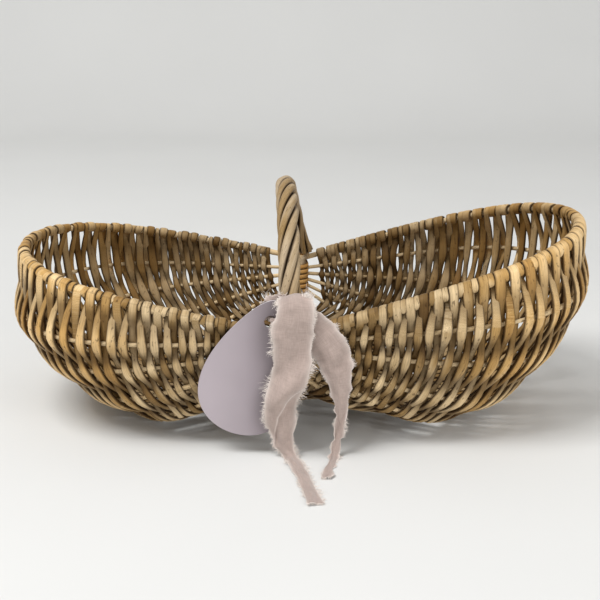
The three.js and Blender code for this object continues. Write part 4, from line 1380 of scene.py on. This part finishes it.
class BASKET_OT_ribbon(bpy.types.Operator):
    """Builds the cloth ribbon: its sleeve, its pass through the tag and its two tails with loose threads"""

    bl_idname = "basket.ribbon"
    bl_label = "Ribbon"

    def execute(self, context):
        settings = context.scene.basket
        c = settings.colours
        weave = once("Cotton weave", cloth_weave)
        cloth = once("Washed cotton", cotton, "Washed cotton", weave, tuple(c.cloth), tuple(c.thread))
        threads = once("Loose threads", loose_thread, "Loose threads", tuple(c.thread))
        self.sleeve(settings, cloth)
        self.gathered(settings, cloth)
        for strip in STRIPS:
            self.strip(settings, cloth, threads, *strip)
        return {"FINISHED"}

    def strip(self, settings, cloth, threads, name, table, seed, dents, crease, first, rests):
        """One hanging strip as a sheet, with the loose threads of its edges."""
        r = settings.ribbon
        kind = name.split("_")[1]
        grid, run, width, worn = cloth_grid(*strip_arrays(table, kind), seed, dents, crease)
        grid[:, :, 2] = np.maximum(grid[:, :, 2], r.thickness)
        mesh = cloth_mesh(name, grid, run, width, worn, r.thickness)
        strip = add_piece(name, mesh, cloth, ["ribbon"], "cotton_ribbon")
        rng = np.random.default_rng(seed + 1)
        count = int(r.threads * run[-1] / THREADS_RUN)
        spots, ways, sizes = edge_spots(grid, count, first, rng)
        before = 0.0
        if kind == "front":
            count = r.threads // END_THREADS
            spots.append(grid[rng.integers(*TUFT_ROWS, count), -1 - rng.integers(0, TUFT_COLUMNS, count)])
            ways.append(np.repeat(unit(np.array([TUFT_WAY])), count, 0))
            sizes.append(np.full(count, TUFT_LENGTH))
            before = settings.tag.hook[1] - THREADS_CLEAR
        if kind == "back":
            sizes[:2] = sizes[0] * BESIDE_TAG[0], sizes[1] * BESIDE_TAG[1]
        sizes = [r.fray * size for size in sizes]
        fray = fray_mesh(name + "_fray", spots, ways, sizes, rng, r.thread, before)
        fray = add_piece(name + "_fray", fray, threads, [], "cotton_ribbon")
        area = float(np.sum(np.diff(run) * (width[1:] + width[:-1]) / 2))
        flat = (float(np.max(width)), float(run[-1]) * WRINKLED)

    def sleeve(self, settings, cloth):
        """The tied part: a ring of cloth about the bow with upright gathers."""
        s, h, r = settings.frame, settings.handle, settings.ribbon
        rows, columns = 28, 120
        rise = r.sleeve_foot + r.sleeve_height * np.linspace(0, 1, rows)
        centre = bow_line(settings, np.arcsin(rise / h.rise) / np.pi)
        direction = unit(np.gradient(centre, axis=0))
        side = square_to(direction, ACROSS)
        angle = circle(columns)
        radius = s.hoop_radius + 2 * h.rod_radius + 3 * s.gap + SLEEVE_CLEAR
        part = np.linspace(0, 1, rows)[:, None]
        gather = sum(d * np.sin(n * angle + slant * part + start) for d, n, slant, start in GATHERS)
        reach = (radius + gather + FLARE * (1 - np.sin(np.pi * part)) ** 3)[:, :, None]
        arm = rings(side, np.cross(direction, side), angle)
        inner, outer = (centre[:, None] + arm * there for there in (reach, reach + r.thickness))
        grid = np.concatenate([outer, inner[::-1]], 0)
        u = np.linspace(0, 0.05, 2 * rows + 1)
        v = np.linspace(0, 2 * np.pi * radius, columns + 1)
        worn = np.abs(np.linspace(-1, 1, 2 * rows))[:, None] * 0.3
        mesh = put_mesh("ribbon_sleeve", grid, u, v, True, edge=worn)
        sleeve = add_piece("ribbon_sleeve", mesh, cloth, ["ribbon"], "cotton_ribbon")

    def gathered(self, settings, cloth):
        """The gathered pass from the sleeve through the tag's hole, its places in its own radii p."""
        x, y, z = settings.tag.hook
        p = settings.ribbon.pass_radius
        behind, before = y + p + PASS_BEHIND, y - PASS_BEFORE
        places = np.array(
            [
                (x + 3.2 * p, behind + p / 3, z + 2.4 * p),
                (x + 1.2 * p, behind, z + 2.2 * p),
                (x - p / 4, behind, z + 1.2 * p),
                (x, behind, z),
                (x + p / 4, y, z),
                (x + p, before, z),
                (x + 2 * p, before, z + p / 4),
                (x + 4 * p, before, z + p),
            ]
        )
        line, full = smooth_path(places, np.array(PASS_FULL)[:, None], 12)
        angle = circle(48)
        side = round_side(line)
        run = running(line)
        twist = run[:, None] * PASS_TWIST
        pleat = sum((d * np.sin(n * angle + twists * twist) for d, n, twists in PASS_PLEATS), 1)
        arm = rings(side, np.cross(unit(np.gradient(line, axis=0)), side), angle)
        grid = line[:, None] + arm * (p * (pleat * full))[:, :, None]
        v = np.linspace(0, 2 * np.pi * p, len(angle) + 1)
        mesh = put_mesh("ribbon_pass", grid, run, v, edge=0.0)
        add_piece("ribbon_pass", mesh, cloth, ["ribbon"], "cotton_ribbon")


class BASKET_OT_tag(bpy.types.Operator):
    """Builds the egg-shaped card tag"""

    bl_idname = "basket.tag"
    bl_label = "Card tag"

    def execute(self, context):
        settings = context.scene.basket
        t = settings.tag
        sag = t.hole_radius - settings.ribbon.pass_radius - settings.frame.gap
        angle = circle(180)
        sin, cos = np.sin(angle), np.cos(angle)
        wide = t.wide / 2 * sin * (1 - t.narrow * cos)
        egg = np.stack([wide, t.tall / 2 * (cos - 1) + t.hole_inset - sag], 1)
        hole = np.stack([t.hole_radius * sin, t.hole_radius * cos - sag], 1)
        inner = egg - unit(np.roll(egg, 1, 0) - np.roll(egg, -1, 0))[:, ::-1] * [-1, 1] * CARD_BEVEL
        middle = mix(egg, hole, 0.5)
        half = t.thickness / 2
        depth = np.array([-half, CARD_BEVEL - half, half - CARD_BEVEL, half, half, half, -half, -half])
        shells = np.stack([inner, egg, egg, inner, middle, hole, hole, middle])
        across, up = shells[..., 0], shells[..., 1]
        cos, sin = np.cos(t.tilt), np.sin(t.tilt)
        depth = np.repeat(depth[:, None], len(angle), 1)
        grid = np.stack([across * cos + up * sin, depth, up * cos - across * sin], -1) + np.array(t.hook)
        edge = np.array([0.0, 1, 1, 0, 0, 0, 0, 0])[:, None]
        u, v = np.arange(9) * 0.01, np.linspace(0, 0.3, len(angle) + 1)
        mesh = put_mesh("tag_card", grid, u, v, True, edge=edge)
        mesh.polygons.foreach_set("use_smooth", np.zeros(len(mesh.polygons), bool))
        if signed_volume(grid) < 0:
            mesh.flip_normals()
        card = once("Satin card", satin_card, "Satin card", settings)
        add_piece("tag_card", mesh, card, ["card_tag"], "lilac_card", TAG_BODY)
        return {"FINISHED"}


def signed_volume(grid):
    """A sixth of the sum of the corner triple products over the grid's triangles, closed both ways."""
    a, b = grid, np.roll(grid, -1, 1)
    c, d = np.roll(b, -1, 0), np.roll(grid, -1, 0)
    return float(np.sum(np.cross(a, b) * c) + np.sum(np.cross(a, c) * d)) / 6


class BASKET_OT_stage(bpy.types.Operator):
    """Sets up the floor, the backdrop, the lights and the camera"""

    bl_idname = "basket.stage"
    bl_label = "Stage"

    def execute(self, context):
        scene = context.scene
        settings = scene.basket
        g = settings.stage
        self.backdrop(scene, plain_ground("Pale ground", tuple(settings.colours.floor)))
        for name, size, place in LAMPS:
            self.lamp(scene, name, getattr(g, name), size, place)
        scene.world = soft_sky(g.sky, g.ground)
        camera = bpy.data.objects.new("camera", bpy.data.cameras.new("camera"))
        camera.data.sensor_width = 36
        camera.data.lens = g.focal
        camera.data.clip_end = 20
        camera.location = CENTRING + (g.across, -g.back, g.height)
        camera.rotation_euler = (np.pi / 2 + g.pitch, 0, -g.yaw)
        scene.collection.objects.link(camera)
        scene.camera = camera
        scene.view_settings.view_transform = "Standard"
        return {"FINISHED"}

    def backdrop(self, scene, ground):
        """A floor that bends up into a wall behind the basket."""
        bend = np.linspace(0, np.pi / 2, 17)
        near, far, radius, wide, tall = -2.5, 1.5, 0.5, 3.0, 3.0
        y = np.concatenate([[near], far + radius * np.sin(bend), [far + radius]])
        z = np.concatenate([[0.0], radius - radius * np.cos(bend), [tall]])
        n = len(y)
        points = np.concatenate([np.stack([np.full(n, x), y, z], 1) for x in (-wide, wide)])
        i = np.arange(n - 1)
        mesh = bpy.data.meshes.new("floor")
        mesh.from_pydata(points, [], np.stack([i, i + n, i + n + 1, i + 1], 1).tolist())
        mesh.polygons.foreach_set("use_smooth", np.ones(len(mesh.polygons), bool))
        mesh.materials.append(ground)
        floor = bpy.data.objects.new("floor", mesh)
        scene.collection.objects.link(floor)

    def lamp(self, scene, name, power, size, place):
        """A square area lamp that faces the basket's middle."""
        data = bpy.data.lights.new(name, "AREA")
        data.energy, data.size = power, size
        lamp = bpy.data.objects.new(name, data)
        lamp.location = place
        x, y, z = CENTRING + (0, 0, 0.06) - place
        lamp.rotation_euler = (np.arctan2(np.hypot(x, y), -z), 0, np.arctan2(-x, y))
        scene.collection.objects.link(lamp)


class BASKET_PT_panel(bpy.types.Panel):
    """Buttons and settings of the basket"""

    bl_idname = "BASKET_PT_panel"
    bl_label = "Willow Basket"
    bl_space_type = "VIEW_3D"
    bl_region_type = "UI"
    bl_category = "Basket"

    def draw(self, context):
        layout = self.layout
        for operator in OPERATORS:
            layout.operator(operator.bl_idname)
        settings = context.scene.basket
        for part in BasketSettings.__annotations__:
            box = layout.box()
            box.label(text=part.capitalize())
            values = getattr(settings, part)
            for key in values.__annotations__:
                box.prop(values, key)


SIZES = (BasketFrameSizes, BasketWeaveSizes, BasketHandleSizes, BasketRibbonSizes, BasketTagSizes)
GROUPS = SIZES + (BasketColours, BasketStage, BasketSettings)
OPERATORS = (
    BASKET_OT_stage,
    BASKET_OT_frame_rods,
    BASKET_OT_weave,
    BASKET_OT_handle,
    BASKET_OT_lashings,
    BASKET_OT_ribbon,
    BASKET_OT_tag,
)
CLASSES = GROUPS + OPERATORS + (BASKET_PT_panel,)


def register():
    for item in CLASSES:
        bpy.utils.register_class(item)
    bpy.types.Scene.basket = bpy.props.PointerProperty(type=BasketSettings)


def unregister():
    del bpy.types.Scene.basket
    for item in reversed(CLASSES):
        bpy.utils.unregister_class(item)


def main():
    """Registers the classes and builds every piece."""
    register()
    bpy.ops.basket.stage()
    bpy.ops.basket.frame_rods()
    bpy.ops.basket.weave()
    bpy.ops.basket.handle()
    bpy.ops.basket.lashings()
    bpy.ops.basket.ribbon()
    bpy.ops.basket.tag()


if __name__ == "__main__":
    main()
